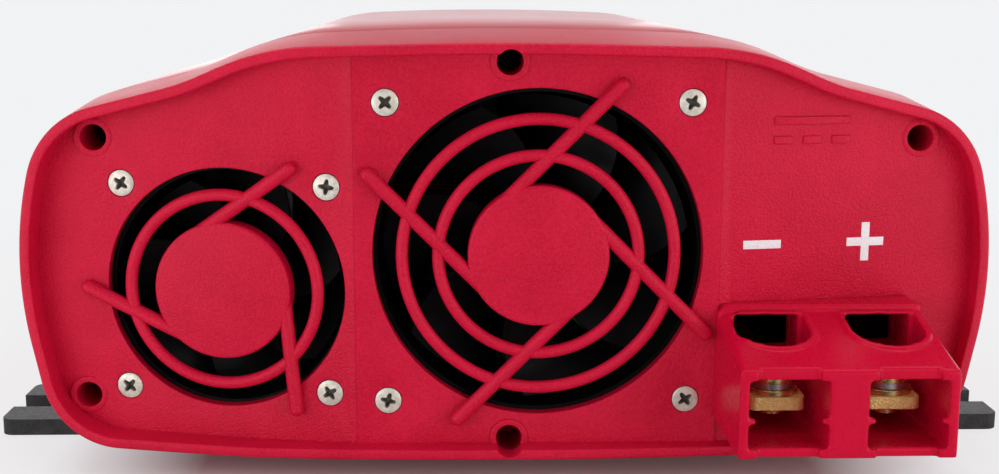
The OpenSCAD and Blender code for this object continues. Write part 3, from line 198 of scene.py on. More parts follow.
paintRed = {"tones": ((0.55, 0.004, 0.024), (0.65, 0.008, 0.034)), "peel": 1.6}


def makePaintRed():
    # powder paint on sheet metal: orange peel under a clear gloss
    it = Finish("body_red_paint")
    peel, slow = it.noise(paintRed["peel"], None, 2.0, 0.45), it.noise(48.0, None, 3.0, 0.55)
    handled = it.patches(17.0)
    return it.put(
        colour=it.tones(slow * 0.7 + it.cells(0.35) * 0.3, paintRed["tones"]),
        rough=it.span(handled, 0.35, 0.7, 0.30, 0.36),
        coat=it.sway(handled, 0.72, 0.62), coatRough=0.16,
        normal=it.bump(peel, 0.03, 0.35), specular=0.3)


footBlack = {"tones": ((0.012, 0.012, 0.013), (0.036, 0.036, 0.040)),
             "dust": (0.10, 0.10, 0.105), "rough": (0.36, 0.50)}


def makeFootBlack():
    # charcoal plastic with a coarse leather-like mould grain and grey dust on it
    it = Finish("foot_charcoal_grain")
    grain, fine = it.cells(0.9, "SMOOTH_F1"), it.soft(0.4)
    dust = it.span(it.patches(6.0), 0.5, 0.72)
    return it.put(
        colour=it.mix(dust * 0.30, it.tones(fine, footBlack["tones"]), footBlack["dust"]),
        rough=it.span(grain, 0.0, 0.8, *footBlack["rough"]) + dust * 0.1,
        normal=it.bump(grain * 0.7 + fine * 0.3, 0.09, 0.6), specular=0.36)


# these near-black tones carry painted shade for the fans inside the case as well as the plastic's
# own colour
fanBlack = {"tones": ((0.002, 0.002, 0.0022), (0.005, 0.005, 0.0056)),
            "dust": (0.05, 0.047, 0.044), "rough": (0.40, 0.52)}


def makeFanBlack():
    # dull fan plastic, a little dusty, in tones darker than the plastic itself: painted shade for
    # fans deep in the case
    it = Finish("fan_black_plastic")
    skin, dust = it.noise(0.8), it.span(it.noise(7.0, None, 4.0, 0.7), 0.52, 0.75)
    return it.put(
        colour=it.mix(dust * 0.06, it.mix(skin, *fanBlack["tones"]), fanBlack["dust"]),
        rough=it.sway(skin, *fanBlack["rough"]), normal=it.bump(skin, 0.04, 0.4), specular=0.10)


foamBlack = {"tones": ((0.002, 0.002, 0.002), (0.010, 0.010, 0.011)), "cell": 0.9, "depth": 0.5}


def makeFoamBlack():
    # open-cell foam for the dark screen behind the vents, which keeps light out of the case so its
    # inside stays in shade
    it = Finish("screen_black_foam")
    cells = it.cells(foamBlack["cell"])
    return it.put(
        colour=it.tones(cells, foamBlack["tones"], (0.1, 0.6)),
        rough=it.sway(it.soft(0.5), 0.8, 0.95),
        normal=it.bump(cells, foamBlack["depth"], 0.8), specular=0.1)


fittingBlack = {"tones": ((0.009, 0.009, 0.010), (0.022, 0.022, 0.024)), "rough": (0.26, 0.34)}


def makeFittingBlack():
    # glossier black of the sockets and the switch, with fine tumbling marks
    it = Finish("fitting_black_gloss")
    skin, wipe = it.noise(0.5), it.span(it.patches(5.0, (1.0, 1.0, 0.25)), 0.5, 0.7)
    return it.put(
        colour=it.tones(skin, fittingBlack["tones"]),
        rough=it.sway(skin, *fittingBlack["rough"]) + wipe * 0.12,
        normal=it.bump(skin, 0.03, 0.5), specular=0.5)


# the darkest tone is painted shade for the cross recess
screwNickel = {"tones": ((0.85, 0.80, 0.71), (0.66, 0.60, 0.51)), "dirt": (0.030, 0.024, 0.016),
               "metal": 0.35, "rough": (0.34, 0.50)}


def makeScrewNickel():
    # plated screw heads: tumbled surface, painted shade in the cross
    it = Finish("screw_nickel")
    turned, worn, cross = it.noise(0.45), it.noise(1.4), it.marked("recessShade")
    colour = it.tones(worn, screwNickel["tones"], (0.35, 0.65))
    # painted shade: the cross recess is darkened by its mask, which also makes it rougher and less
    # metallic
    dirt = cross * it.span(worn, 0.2, 0.6, 1.0, 0.78)
    return it.put(
        colour=it.mix(dirt, colour, screwNickel["dirt"]),
        rough=it.sway(turned, *screwNickel["rough"]) + cross * 0.2,
        metal=screwNickel["metal"] - cross * 0.2, normal=it.bump(turned, 0.03, 0.5))


screwBlued = {"tones": ((0.010, 0.010, 0.012), (0.034, 0.033, 0.036)),
              "bare": (0.16, 0.15, 0.14), "rough": (0.36, 0.52)}


def makeScrewBlued():
    # blackened screws: dull oxide, rubbed through here and there
    it = Finish("screw_blued")
    skin, rubbed = it.noise(0.5), it.span(it.patches(1.2), 0.60, 0.72)
    return it.put(
        colour=it.mix(rubbed * 0.4, it.tones(skin, screwBlued["tones"]), screwBlued["bare"]),
        rough=it.sway(skin, *screwBlued["rough"]), metal=rubbed * 0.6,
        normal=it.bump(skin, 0.03, 0.5), specular=0.3)


brassBar = {"tones": ((0.70, 0.45, 0.16), (0.98, 0.70, 0.28)), "grain": 0.55,
            "rough": (0.52, 0.36), "metal": (0.75, 0.6)}


def makeBrassBar():
    # sawn and tumbled brass: coarse sandy grain, darker where it has tarnished
    it = Finish("terminal_brass_sandy")
    sand, tarnish = it.noise(brassBar["grain"], None, 3.0, 0.7), it.patches(4.5)
    return it.put(
        colour=it.tones(sand * 0.6 + tarnish * 0.4, brassBar["tones"], (0.36, 0.62)),
        rough=it.sway(sand, *brassBar["rough"]), metal=it.sway(tarnish, *brassBar["metal"]),
        normal=it.bump(sand * 0.6 + it.cells(0.5) * 0.4, 0.18, 0.9))


boardGreen = {"tones": ((0.006, 0.07, 0.028), (0.012, 0.11, 0.045)), "track": (0.05, 0.20, 0.07)}


def makeBoardGreen():
    # solder mask over copper tracks
    it = Finish("board_green_mask")
    sockets = {"Vector": it.place, "Scale": 60.0, "Mortar Size": 0.02}
    tracks = it.node("ShaderNodeTexBrick", sockets, "Fac", offset=0.35, squash=0.6)
    cloud = it.noise(5.0)
    colour = it.tones(cloud, boardGreen["tones"])
    return it.put(
        colour=it.mix(it.span(tracks, 0.0, 1.0, 0.0, 0.5), colour, boardGreen["track"]),
        rough=it.sway(cloud, 0.28, 0.4), normal=it.bump(cloud, 0.02, 0.4))


ferriteGrey = {"tones": ((0.016, 0.016, 0.017), (0.050, 0.048, 0.047)), "rough": (0.55, 0.75)}


def makeFerrite():
    # pressed ferrite, matt and slightly speckled
    it = Finish("ferrite_grey")
    speck, cloud = it.cells(0.6), it.noise(3.0)
    return it.put(
        colour=it.tones(speck * 0.5 + cloud * 0.5, ferriteGrey["tones"], (0.2, 0.6)),
        rough=it.sway(cloud, *ferriteGrey["rough"]), normal=it.bump(speck, 0.05, 0.5))


windingCopper = {"tones": ((0.11, 0.028, 0.010), (0.46, 0.16, 0.055)), "metal": (0.6, 0.8)}


def makeWindingCopper():
    # close turns of enamelled wire
    it = Finish("winding_copper_enamel")
    sockets = {"Vector": it.place, "Scale": 260.0, "Distortion": 0.6, "Detail": 1.0}
    turns = it.node("ShaderNodeTexWave", sockets, "Fac", bands_direction="Z")
    cloud = it.noise(4.0)
    return it.put(
        colour=it.tones(turns * 0.7 + cloud * 0.3, windingCopper["tones"], (0.2, 0.8)),
        rough=it.sway(cloud, 0.25, 0.4), metal=it.span(turns, 0.0, 1.0, *windingCopper["metal"]),
        normal=it.bump(turns, 0.25, 0.7))


# simpler finishes: the noises are given as size, stretch, detail and roughness
plainFinishes = {
    # zinc-plated steel of the fasteners inside and of the socket shells
    "steel": {"name": "screw_zinc_steel", "tones": ((0.55, 0.55, 0.56), (0.40, 0.40, 0.41)),
              "cloud": (3.0,), "at": (0.35, 0.65), "grain": (0.6, (1.0, 1.0, 0.3)),
              "rough": (0.26, 0.42), "relief": (0.02, 0.5), "metals": (0.2, 0.8, 1.0, 0.92)},
    # turned brass of the terminal screws and washers
    "brass": {"name": "terminal_brass_turned", "tones": ((0.74, 0.56, 0.26), (0.46, 0.30, 0.11)),
              "cloud": (2.4, None, 4.0, 0.65), "at": (0.38, 0.64),
              "grain": (0.35, (0.3, 0.3, 1.0), 2.0, 0.5), "rough": (0.20, 0.34),
              "relief": (0.03, 0.6), "metals": (0.3, 0.7, 1.0, 0.92)},
    # pad-printed ink, a little thin over the mould grain
    "sign": {"name": "sign_white_ink", "tones": ((0.84, 0.79, 0.82), (0.80, 0.45, 0.50)),
             "cloud": (0.7,), "at": (0.46, 0.72, 0.0, 0.45), "grain": (0.62, None, 2.0, 0.55),
             "rough": (0.42, 0.56), "relief": (0.10, 0.6)},
    # moulded lens with a faint swirl
    "lens": {"name": "lens_green_clear", "tones": ((0.02, 0.30, 0.07), (0.06, 0.48, 0.13)),
             "cloud": (1.2,), "at": (0.35, 0.65), "rough": (0.08, 0.16),
             "coat": 0.6, "subsurface": 0.15},
    # shrunk sleeve with fine wrinkles
    "sleeve": {"name": "capacitor_blue_sleeve", "cloud": (2.0, (1.0, 1.0, 0.2)),
               "tones": ((0.008, 0.012, 0.060), (0.020, 0.026, 0.10)),
               "rough": (0.25, 0.38), "relief": (0.05, 0.5)},
    # extruded aluminium with draw lines
    "sink": {"name": "sink_aluminium_drawn", "tones": ((0.52, 0.53, 0.55), (0.62, 0.63, 0.65)),
             "cloud": (8.0,), "grain": (0.5, (1.0, 0.02, 1.0), 2.0, 0.5), "rough": (0.28, 0.45),
             "relief": (0.03, 0.6), "metals": (0.2, 0.8, 1.0, 0.95)},
    # blade fuses
    "fuse": {"name": "fuse_green_plastic", "tones": ((0.03, 0.26, 0.07), (0.06, 0.40, 0.12)),
             "cloud": (1.6,), "rough": (0.14, 0.24), "relief": (0.02, 0.4), "coat": 0.3}}


def makePlain(name, tones, cloud, rough, at=Finish.noiseSpan, grain=None, relief=None,
              metals=None, **fixed):
    # colour follows a cloud; roughness and relief follow a grain, or else the same cloud
    it = Finish(name)
    cloud = it.noise(*cloud)
    grain = it.noise(*grain) if grain else cloud
    if relief:
        fixed["normal"] = it.bump(grain, *relief)
    if metals:
        fixed["metal"] = it.span(cloud, *metals)
    return it.put(colour=it.tones(cloud, tones, at), rough=it.sway(grain, *rough), **fixed)


finish = {
    "grain": makeGrainRed(), "satin": makeSatinRed(), "paint": makePaintRed(),
    "foot": makeFootBlack(), "fan": makeFanBlack(), "foam": makeFoamBlack(),
    "fitting": makeFittingBlack(), "nickel": makeScrewNickel(), "blued": makeScrewBlued(),
    "bar": makeBrassBar(), "board": makeBoardGreen(), "ferrite": makeFerrite(),
    "copper": makeWindingCopper()}
finish.update((key, makePlain(**values)) for key, values in plainFinishes.items())
print("finishes made:", len(finish))


# mesh work: shells are gathered in millimetres and become one piece in metres

def onCircle(radius, k, count, height=0.0):
    angle = 2 * pi * k / count
    return Vector((radius * cos(angle), radius * sin(angle), height))


def quarter(steps):
    return [k * pi / (2 * steps) for k in range(steps + 1)]


def rounding(radius, steps):
    # a quarter circle, as the distances from its two tangents
    return [(radius * (1 - sin(a)), radius * (1 - cos(a))) for a in quarter(steps)]


def inside(point, loop):
    hit = False
    for a, b in zip(loop, loop[1:] + loop[:1]):
        if (a[1] > point[1]) != (b[1] > point[1]):
            if point[0] < (b[0] - a[0]) * (point[1] - a[1]) / (b[1] - a[1]) + a[0]:
                hit = not hit
    return hit


class Shape:
    enclosed, tolerance = 1, 1e-5    # how a sheet is triangulated

    def __init__(self):
        self.mesh = bmesh.new()

    def face(self, corners, finishIndex=0):
        made = self.mesh.faces.new(corners)
        made.material_index = finishIndex

    def bands(self, rows, closed, finishIndex):
        # faces between rows of points; a row of one point is a pole
        for first, second in zip(rows, rows[1:] + (rows[:1] if closed else [])):
            for k in range(max(len(first), len(second))):
                around = ((first, k), (first, k + 1), (second, k + 1), (second, k))
                corners = [row[i % len(row)] for row, i in around]
                self.face(list(dict.fromkeys(corners)), finishIndex)

    def loft(self, loops, closed=False):
        rows = [[self.mesh.verts.new(p) for p in loop] for loop in loops]
        self.bands(rows, closed, 0)
        return rows

    def strip(self, loops):
        # a loft whose loops run there and back again, with both its ends closed
        rows = self.loft(loops)
        for row in (rows[0], rows[-1]):
            last = len(row) - 1
            for i in range(len(row) // 2 - 1):
                self.face((row[i], row[i + 1], row[last - 1 - i], row[last - i]))

    def turned(self, profile, place, count, finishIndex=0, closed=False):
        # profile of (radius, height) spun about the place's z; a radius of 0 is a pole
        rows = [[self.mesh.verts.new(place @ onCircle(radius, k, count, height))
                 for k in range(count if radius else 1)] for radius, height in profile]
        self.bands(rows, closed, finishIndex)

    def sheet(self, loops, holes, lift, seams=()):
        # flat loops filled to a sheet, except for its holes; lift gives each point its place
        points, edges = [], []
        for loop in loops + holes:
            base, count = len(points), len(loop)
            points += [Vector(p) for p in loop]
            edges += [(base + i, base + (i + 1) % count) for i in range(count)]
        flat, _, triangles, *_ = delaunay_2d_cdt(
            points, edges + list(seams), [], self.enclosed, self.tolerance)
        verts = [self.mesh.verts.new(lift(p)) for p in flat]
        for triangle in triangles:
            middle = sum((flat[i] for i in triangle), Vector((0, 0))) / 3
            if not any(inside(middle, hole) for hole in holes):
                self.face([verts[i] for i in triangle])
        for vert in verts:
            if not vert.link_faces:
                self.mesh.verts.remove(vert)

    def roundedBox(self, place, size, edge, finishIndex=0):
        start = len(self.mesh.verts)
        made = bmesh.ops.create_cube(self.mesh, size=1.0)["verts"]
        for vert in made:
            vert.co = Vector([c * s for c, s in zip(vert.co, size)])
        edges = list({e for v in made for e in v.link_edges})
        bmesh.ops.bevel(self.mesh, geom=edges, offset=edge, segments=3, profile=0.5, affect="EDGES")
        self.mesh.verts.ensure_lookup_table()
        fresh = self.mesh.verts[start:]
        for vert in fresh:
            vert.co = place @ vert.co
        for face in {f for v in fresh for f in v.link_faces}:
            face.material_index = finishIndex

    def absorb(self, mesh, place, finishIndex=0):
        mesh.transform(place)
        known = len(self.mesh.faces)
        self.mesh.from_mesh(mesh)
        self.mesh.faces.ensure_lookup_table()
        for made in self.mesh.faces[known:]:
            made.material_index = finishIndex
        bpy.data.meshes.remove(mesh)

    def done(self, name, *finishNames, smooth=32, weld=0.0005):
        bmesh.ops.remove_doubles(self.mesh, verts=self.mesh.verts, dist=weld)
        bmesh.ops.recalc_face_normals(self.mesh, faces=self.mesh.faces)
        bmesh.ops.scale(self.mesh, vec=(mm, mm, mm), verts=self.mesh.verts)
        data = bpy.data.meshes.new(name)
        self.mesh.to_mesh(data)
        self.mesh.free()
        return standing(name, data, *finishNames, smooth=smooth)


def standing(name, data, *finishNames, smooth=32):
    data.materials.clear()
    for one in finishNames:
        data.materials.append(finish[one])
    data.polygons.foreach_set("use_smooth", [True] * len(data.polygons))
    data.set_sharp_from_angle(angle=radians(smooth))
    return linked(name, data)


def linked(name, data):
    made = bpy.data.objects.new(name, data)
    scene.collection.objects.link(made)
    return made


def evaluated(carrier):
    graph = bpy.context.evaluated_depsgraph_get()
    return bpy.data.meshes.new_from_object(carrier.evaluated_get(graph))


def baked(carrier):
    bpy.context.view_layer.update()
    done = evaluated(carrier)
    bpy.data.objects.remove(carrier)
    return done


def carved(part, tools):
    # each tool stands beside what it does to the part
    for operation, tool in tools.items():
        cutter = part.modifiers.new(operation, "BOOLEAN")
        cutter.operation, cutter.solver, cutter.object = operation, "EXACT", tool
    data = baked(part)
    for tool in tools.values():
        bpy.data.objects.remove(tool)
    return data


def pieceName(node):
    first, *others = node.split("_")
    return first + "".join(word.title() for word in others)


def settled(piece, node=None, body="housing"):
    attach(piece, body)
    if node:
        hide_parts(node)
    return piece


dressing = {"weld": 0.002 * mm, "flat": radians(0.6), "angle": 34, "normalWeight": 80}


def dressed(node, finishName, edge, body="housing", segments=2, clamp=True):
    # a CAD solid with its edges softened
    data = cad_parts[node].data.copy()
    work = bmesh.new()
    work.from_mesh(data)
    bmesh.ops.remove_doubles(work, verts=work.verts, dist=dressing["weld"])
    bmesh.ops.dissolve_limit(
        work, angle_limit=dressing["flat"], verts=work.verts, edges=work.edges)
    work.to_mesh(data)
    work.free()
    if "custom_normal" in data.attributes:
        data.attributes.remove(data.attributes["custom_normal"])
    made = standing(pieceName(node), data, finishName, smooth=dressing["angle"])
    bevel = made.modifiers.new("edge", "BEVEL")
    bevel.limit_method, bevel.angle_limit = "ANGLE", radians(dressing["angle"])
    bevel.width, bevel.segments, bevel.use_clamp_overlap = edge * mm, segments, clamp
    bevel.miter_outer = "MITER_ARC"
    even = made.modifiers.new("even", "WEIGHTED_NORMAL")
    even.keep_sharp, even.weight = True, dressing["normalWeight"]
    plain = evaluated(made)
    made.modifiers.clear()
    made.data = plain
    return settled(made, node, body)


# the case: its outline, its two ends and the panels in them

caseSize = {"rimTop": 105.0, "seam": 52.0, "dcRim": -137.0, "acRim": 163.0, "capLength": 36.0,
            "rimProud": 6.0, "bowRadius": 630.0, "wall": 2.6, "panel": 3.0, "holeEdge": 0.3,
            "sweep": radians(8.5), "creaseStep": 0.4, "creaseCuts": 4, "bodyStep": 1.7,
            "bodyCrown": 1.0, "bodyWall": 2.4, "leftCrease": -36.4, "rightCrease": 49.85,
            "acCrease": 50.0, "runLength": 6.0}
# corners of the outline: place, rounding, convex or concave, and steps of the arc
crownArc = ((0.0, caseSize["rimTop"]), 900.0, 1, 16)
halfArcs = [((56.0, 103.5), 60.0, 1, 12), ((76.0, 94.9), 60.0, -1, 10),
            ((110.4, 86.1), 22.0, 1, 20), ((118.8, 52.0), 90.0, 1, 20),
            ((109.4, 7.6), 19.5, 1, 18), ((60.0, 6.0), 100.0, 1, 6)]


def outlineArcs(out, crown):
    mirrored = [((-p[0], p[1]), r, t, n) for p, r, t, n in reversed(halfArcs)]
    arcs = [((0.0, crownArc[0][1] + crown), *crownArc[1:])] + halfArcs + mirrored
    points = [Vector(a[0]) for a in arcs]
    moved = []
    for i, p in enumerate(points):
        a = (p - points[i - 1]).normalized()
        b = (points[(i + 1) % len(points)] - p).normalized()
        moved.append(p + Vector((-a.y - b.y, a.x + b.x)) * out / (1 + a.dot(b)))
    found = []
    for i, (_, bend, turn, steps) in enumerate(arcs):
        v = moved[i]
        u = (moved[i - 1] - v).normalized()
        w = (moved[(i + 1) % len(moved)] - v).normalized()
        half = acos(u.dot(w)) / 2
        r = bend + turn * out
        middle = v + (u + w).normalized() * r / sin(half)
        start, end = v + u * r / tan(half) - middle, v + w * r / tan(half) - middle
        whole = pi - 2 * half
        found.append([middle + (start * sin((1 - k / steps) * whole)
                                + end * sin(k / steps * whole)) / sin(whole)
                      for k in range(steps + 1)])
    return found


bareArcs = outlineArcs(0, 0)
runCounts = [int((b[0] - a[-1]).length / caseSize["runLength"])
             for a, b in zip(bareArcs, bareArcs[1:] + bareArcs[:1])]


def caseOutline(out, crown=0.0):
    arcs = outlineArcs(out, crown)
    loop = []
    for arc, following, count in zip(arcs, arcs[1:] + arcs[:1], runCounts):
        a, b = arc[-1], following[0]
        loop += arc + [a + (b - a) * k / (count + 1) for k in range(1, count + 1)]
    return loop


dcEnd = Matrix.Translation((0, caseSize["dcRim"], 0))
acEnd = Matrix.Rotation(pi, 4, "Z") @ Matrix.Translation((0, -caseSize["acRim"], 0))


def onMiddle(x, z):
    return Matrix.Translation((x, caseSize["rimProud"], z)) @ upright


def onSide(crease, run, z):
    # run is measured outwards from the crease, along the swept panel
    side = 1 if crease > 0 else -1
    return (Matrix.Translation((crease, caseSize["rimProud"] + caseSize["creaseStep"], 0))
            @ Matrix.Rotation(side * caseSize["sweep"], 4, "Z")
            @ Matrix.Translation((side * run, 0, z)) @ upright)


def onRight(x, z):
    # by the distance across instead of along the panel
    crease = caseSize["rightCrease"]
    return onSide(crease, (x - crease) / cos(caseSize["sweep"]), z)


def panelDepth(x, left, right):
    past = left - x if x < left else x - right if x > right else 0.0
    step = min(past / caseSize["creaseStep"], 1.0)
    return (caseSize["rimProud"] + step * step * (3 - 2 * step) * caseSize["creaseStep"]
            + past * tan(caseSize["sweep"]))


def roundLoop(place, radius, count):
    return lambda out: [place @ onCircle(radius + out, k, count) for k in range(count)]


def boxLoop(place, width, height, corner=0.4):
    def loop(out):
        found = []
        for cx, cy, turn in ((1, 1, 0), (-1, 1, 90), (-1, -1, 180), (1, -1, 270)):
            for a in quarter(3):
                angle = radians(turn) + a
                found.append(place @ Vector((
                    cx * (width / 2 - corner) + (corner + out) * cos(angle),
                    cy * (height / 2 - corner) + (corner + out) * sin(angle), 0)))
        return found
    return loop


def cutAt(loop, lines):
    found = []
    for a, b in zip(loop, loop[1:] + loop[:1]):
        found.append(a)
        crossings = [x for x in lines if min(a[0], b[0]) < x < max(a[0], b[0])]
        for x in sorted(crossings, key=lambda c: abs(c - a[0])):
            share = (x - a[0]) / (b[0] - a[0])
            found.append((x, a[1] + (b[1] - a[1]) * share))
    return found


def panelPlate(end, left, right, holes):
    # a plate in three planes with soft-edged openings; holes give their loop for any offset
    shape, thick, edge = Shape(), caseSize["panel"], caseSize["holeEdge"]
    cuts = caseSize["creaseCuts"]
    lines = [c + s * k * caseSize["creaseStep"] / cuts
             for c, s in ((left, -1), (right, 1)) for k in range(cuts + 1)]
    border = cutAt([tuple(p) for p in caseOutline(-caseSize["wall"] * 0.5)], lines)
    seams = []
    for x in lines:
        ends = [i for i, p in enumerate(border) if abs(p[0] - x) < 1e-6]
        seams.append((ends[0], ends[-1]))

    def lifted(x, z, back):
        return end @ Vector((x, panelDepth(x, left, right) + back, z))

    for out, back in ((edge, 0.0), (0.0, thick)):
        shape.sheet([border], [[(p.x, p.z) for p in hole(out)] for hole in holes],
                    lambda p: lifted(p.x, p.y, back), seams)
    shape.loft([[lifted(x, z, back) for x, z in border] for back in (0.0, thick)])
    steps = rounding(edge, 3) + [(0.0, thick)]
    for hole in holes:
        shape.loft([[lifted(p.x, p.z, back) for p in hole(out)] for out, back in steps])
    return shape


rimEdge = {"outer": 0.9, "inner": 0.55, "rear": 0.45, "depth": 14.0}
cutCorner = 0.3    # where the middle of a rounded corner lies, as a share of its radius


def capWall(end):
    # the drafted side wall and its bowed, rounded rim, as one closed band
    wall, step, crown, long = (caseSize[k] for k in ("wall", "bodyStep", "bodyCrown", "capLength"))
    inner, outer, rear = rimEdge["inner"], rimEdge["outer"], rimEdge["rear"]
    rim = [(-wall, rimEdge["depth"])]
    rim += [(b - wall, a) for a, b in rounding(inner, 3)]
    rim += [(-a, b) for a, b in rounding(outer, 4)]
    back = [(step, long - rear), (step - rear * cutCorner, long - rear * cutCorner),
            (step - rear, long), (step - wall, long)]
    shape, bow = Shape(), 2 * caseSize["bowRadius"]
    loops = [[(p.x, deep + p.x * p.x / bow, p.y) for p in caseOutline(out)] for out, deep in rim]
    loops += [[(p.x, deep, p.y) for p in caseOutline(out, crown)] for out, deep in back]
    shape.loft([[end @ Vector(p) for p in loop] for loop in loops], True)
    return shape


caseScrews = {"places": [(0.0, 100.2), (98.7, 81.7), (-98.7, 81.7), (102.8, 18.2),
                         (-102.8, 18.2), (0.0, 9.9)],
              "bore": 3.1, "mouth": (0.3, 0.08), "ring": 4.6, "ringEdge": (0.35, 0.1),
              "ringProud": 0.5, "floor": 4.0, "pilot": 2.1, "overlap": 0.05, "gap": 0.1,
              "seat": 1.9, "headRadius": 2.75, "shadeSteps": (0.5, 2.0, 5.0),
              "inside": (6.5, 104.1), "drill": (5, -20), "count": 48}


def screwTubes(shape, end, left, right, finishIndex):
    it = caseScrews
    bore, ring, front, pilot = it["bore"], it["ring"], it["ringProud"], it["pilot"]
    (edge, softEdge), (mouth, softMouth) = it["ringEdge"], it["mouth"]
    low, high = it["inside"]
    for x, z in it["places"]:
        deep = panelDepth(x, left, right)
        rear = deep - caseSize["capLength"]
        back, floor = rear + it["gap"], rear + it["floor"]
        before = len(shape.mesh.verts)
        shape.turned(
            [(ring, back), (ring, front - edge), (ring - softEdge, front - softEdge),
             (ring - edge, front), (bore + mouth, front), (bore + softMouth, front - softMouth),
             (bore, front - mouth)] + [(bore, -step) for step in it["shadeSteps"]]
            + [(bore, floor), (pilot, floor), (pilot, back)],
            end @ Matrix.Translation((x, deep, z)) @ upright, it["count"], finishIndex, True)
        for vert in list(shape.mesh.verts)[before:]:
            vert.co.z = min(max(vert.co.z, low), high)


def shadeBores(piece, end, left, right):
    # how deep each point lies in a screw bore, for the painted shade in the finish
    away, reach = end.inverted(), caseScrews["bore"] + caseScrews["overlap"]
    values = []
    for vert in piece.data.vertices:
        x, deep, z = away @ (vert.co / mm)
        value = 0.0
        for px, pz in caseScrews["places"]:
            if (x - px) ** 2 + (z - pz) ** 2 < reach ** 2:
                value = (deep - panelDepth(px, left, right)) / caseScrews["shadeSteps"][-1]
        values.append(min(max(value, 0.0), 1.0))
    shade = piece.data.attributes.new("boreShade", "FLOAT", "POINT")
    shade.data.foreach_set("value", values)


def bored(shape, end, radius):
    # the screw recesses bite into the panel, and into the rim where they lie close to it
    drills, (front, back) = Shape(), caseScrews["drill"]
    for x, z in caseScrews["places"]:
        drills.turned([(0, front), (radius, front), (radius, back), (0, back)],
                      end @ Matrix.Translation((x, 0, z)) @ upright, caseScrews["count"])
    part = shape.done("capPart", "satin")
    return carved(part, {"DIFFERENCE": drills.done("capDrills", "satin")})


def makeCap(node, end, left, right, holes, *trims):
    cap = Shape()
    recess = caseScrews["ring"] - caseScrews["overlap"]
    cap.absorb(bored(panelPlate(end, left, right, holes), end, recess), toMm)
    screwTubes(cap, end, left, right, 1)
    for trim in trims:
        trim(cap)
    cap.absorb(bored(capWall(end), end, caseScrews["bore"]), toMm, 1)
    cap = cap.done(pieceName(node), "grain", "satin")
    shadeBores(cap, end, left, right)
    settled(cap, node)
    print(cap.name + ":", len(cap.data.polygons), "faces")


# geometry node trees

class Grower(Bench):
    def __init__(self, name, **inputs):
        self.group = bpy.data.node_groups.new(name, "GeometryNodeTree")
        super().__init__(self.group)
        self.names = {}
        for label, kind in {"geometry": "Geometry", **inputs, "material": "Material"}.items():
            made = self.group.interface.new_socket(
                label, in_out="INPUT", socket_type="NodeSocket" + kind)
            self.names[label] = made.identifier
        self.group.interface.new_socket(
            "geometry", in_out="OUTPUT", socket_type="NodeSocketGeometry")
        self.given = self.node("NodeGroupInput").out

    def joined(self, *parts):
        made = self.node("GeometryNodeJoinGeometry")
        for part in parts:
            self.tree.links.new(part.socket, made.socket.node.inputs[0])
        return made

    def copies(self, points, piece, how, value):
        return self.node("GeometryNodeInstanceOnPoints", {
            "Points": points, "Instance": piece, how: value})

    def picked(self, label):
        sockets = {"Object": self.given(label), "As Instance": True}
        return self.node("GeometryNodeObjectInfo", sockets, "Geometry")

    def spun(self, angle):
        return self.node("FunctionNodeAxisAngleToRotation", {
            "Axis": (0.0, 0.0, 1.0), "Angle": angle})

    def shared(self, label, piece):
        # a whole turn shared out among as many copies as the label gives
        count, index = self.given(label), self.node("GeometryNodeInputIndex")
        turn = self.spun(index * (2 * pi) / count + self.given("firstAngle"))
        points = self.node("GeometryNodePoints", {"Count": count})
        return self.copies(points, piece, "Rotation", turn)

    def circle(self, radius, count):
        return self.node("GeometryNodeCurvePrimitiveCircle", {
            "Resolution": count, "Radius": radius}, mode="RADIUS")

    def moved(self, geometry, place):
        return self.node("GeometryNodeTransform", {
            "Geometry": geometry, "Rotation": (pi / 2, 0.0, 0.0), "Translation": place})

    def vector(self, x=0.0, y=0.0, z=0.0):
        return self.node("ShaderNodeCombineXYZ", {0: x, 1: y, 2: z})

    def realized(self, geometry):
        return self.node("GeometryNodeRealizeInstances", {"Geometry": geometry})

    def ended(self, geometry):
        whole = self.node("GeometryNodeSetMaterial", {
            "Geometry": self.realized(geometry), "Material": self.given("material")})
        self.tree.links.new(whole.socket, self.tree.nodes.new("NodeGroupOutput").inputs[0])
        return self

    def grown(self, carrier, **values):
        modifier = carrier.modifiers.new(self.group.name, "NODES")
        modifier.node_group = self.group
        for label, value in values.items():
            modifier[self.names[label]] = value
        return baked(carrier)


def pointCarrier(name, points, facing=()):
    data = bpy.data.meshes.new(name)
    data.from_pydata([Vector(p) for p in points], [], [])
    if facing:
        made = data.attributes.new("facing", "FLOAT_VECTOR", "POINT")
        made.data.foreach_set("vector", [c for v in facing for c in v])
    return linked(name, data)


def makeScrewField():
    # one screw on every point, along its facing vector, each turned by chance
    tree = Grower("screwField", screw="Object", seed="Int")
    facing = tree.node("GeometryNodeInputNamedAttribute", {"Name": "facing"}, "Attribute",
                       data_type="FLOAT_VECTOR")
    chance = tree.node("FunctionNodeRandomValue", {2: 0.0, 3: 2 * pi, "Seed": tree.given("seed")},
                       1, data_type="FLOAT")
    stand = tree.node("FunctionNodeAlignRotationToVector", {"Vector": facing}, axis="Z")
    aim = tree.node("FunctionNodeRotateRotation", {0: stand, 1: tree.spun(chance)},
                    rotation_space="LOCAL")
    return tree.ended(tree.copies(tree.given("geometry"), tree.picked("screw"), "Rotation", aim))


def makePieceRing():
    # copies of one piece around the z axis
    tree = Grower("pieceRing", piece="Object", count="Int", firstAngle="Float")
    return tree.ended(tree.shared("count", tree.picked("piece")))


grilleSteps = {"around": 120, "ringSection": 20, "spokeSection": 24, "ballRings": 14}


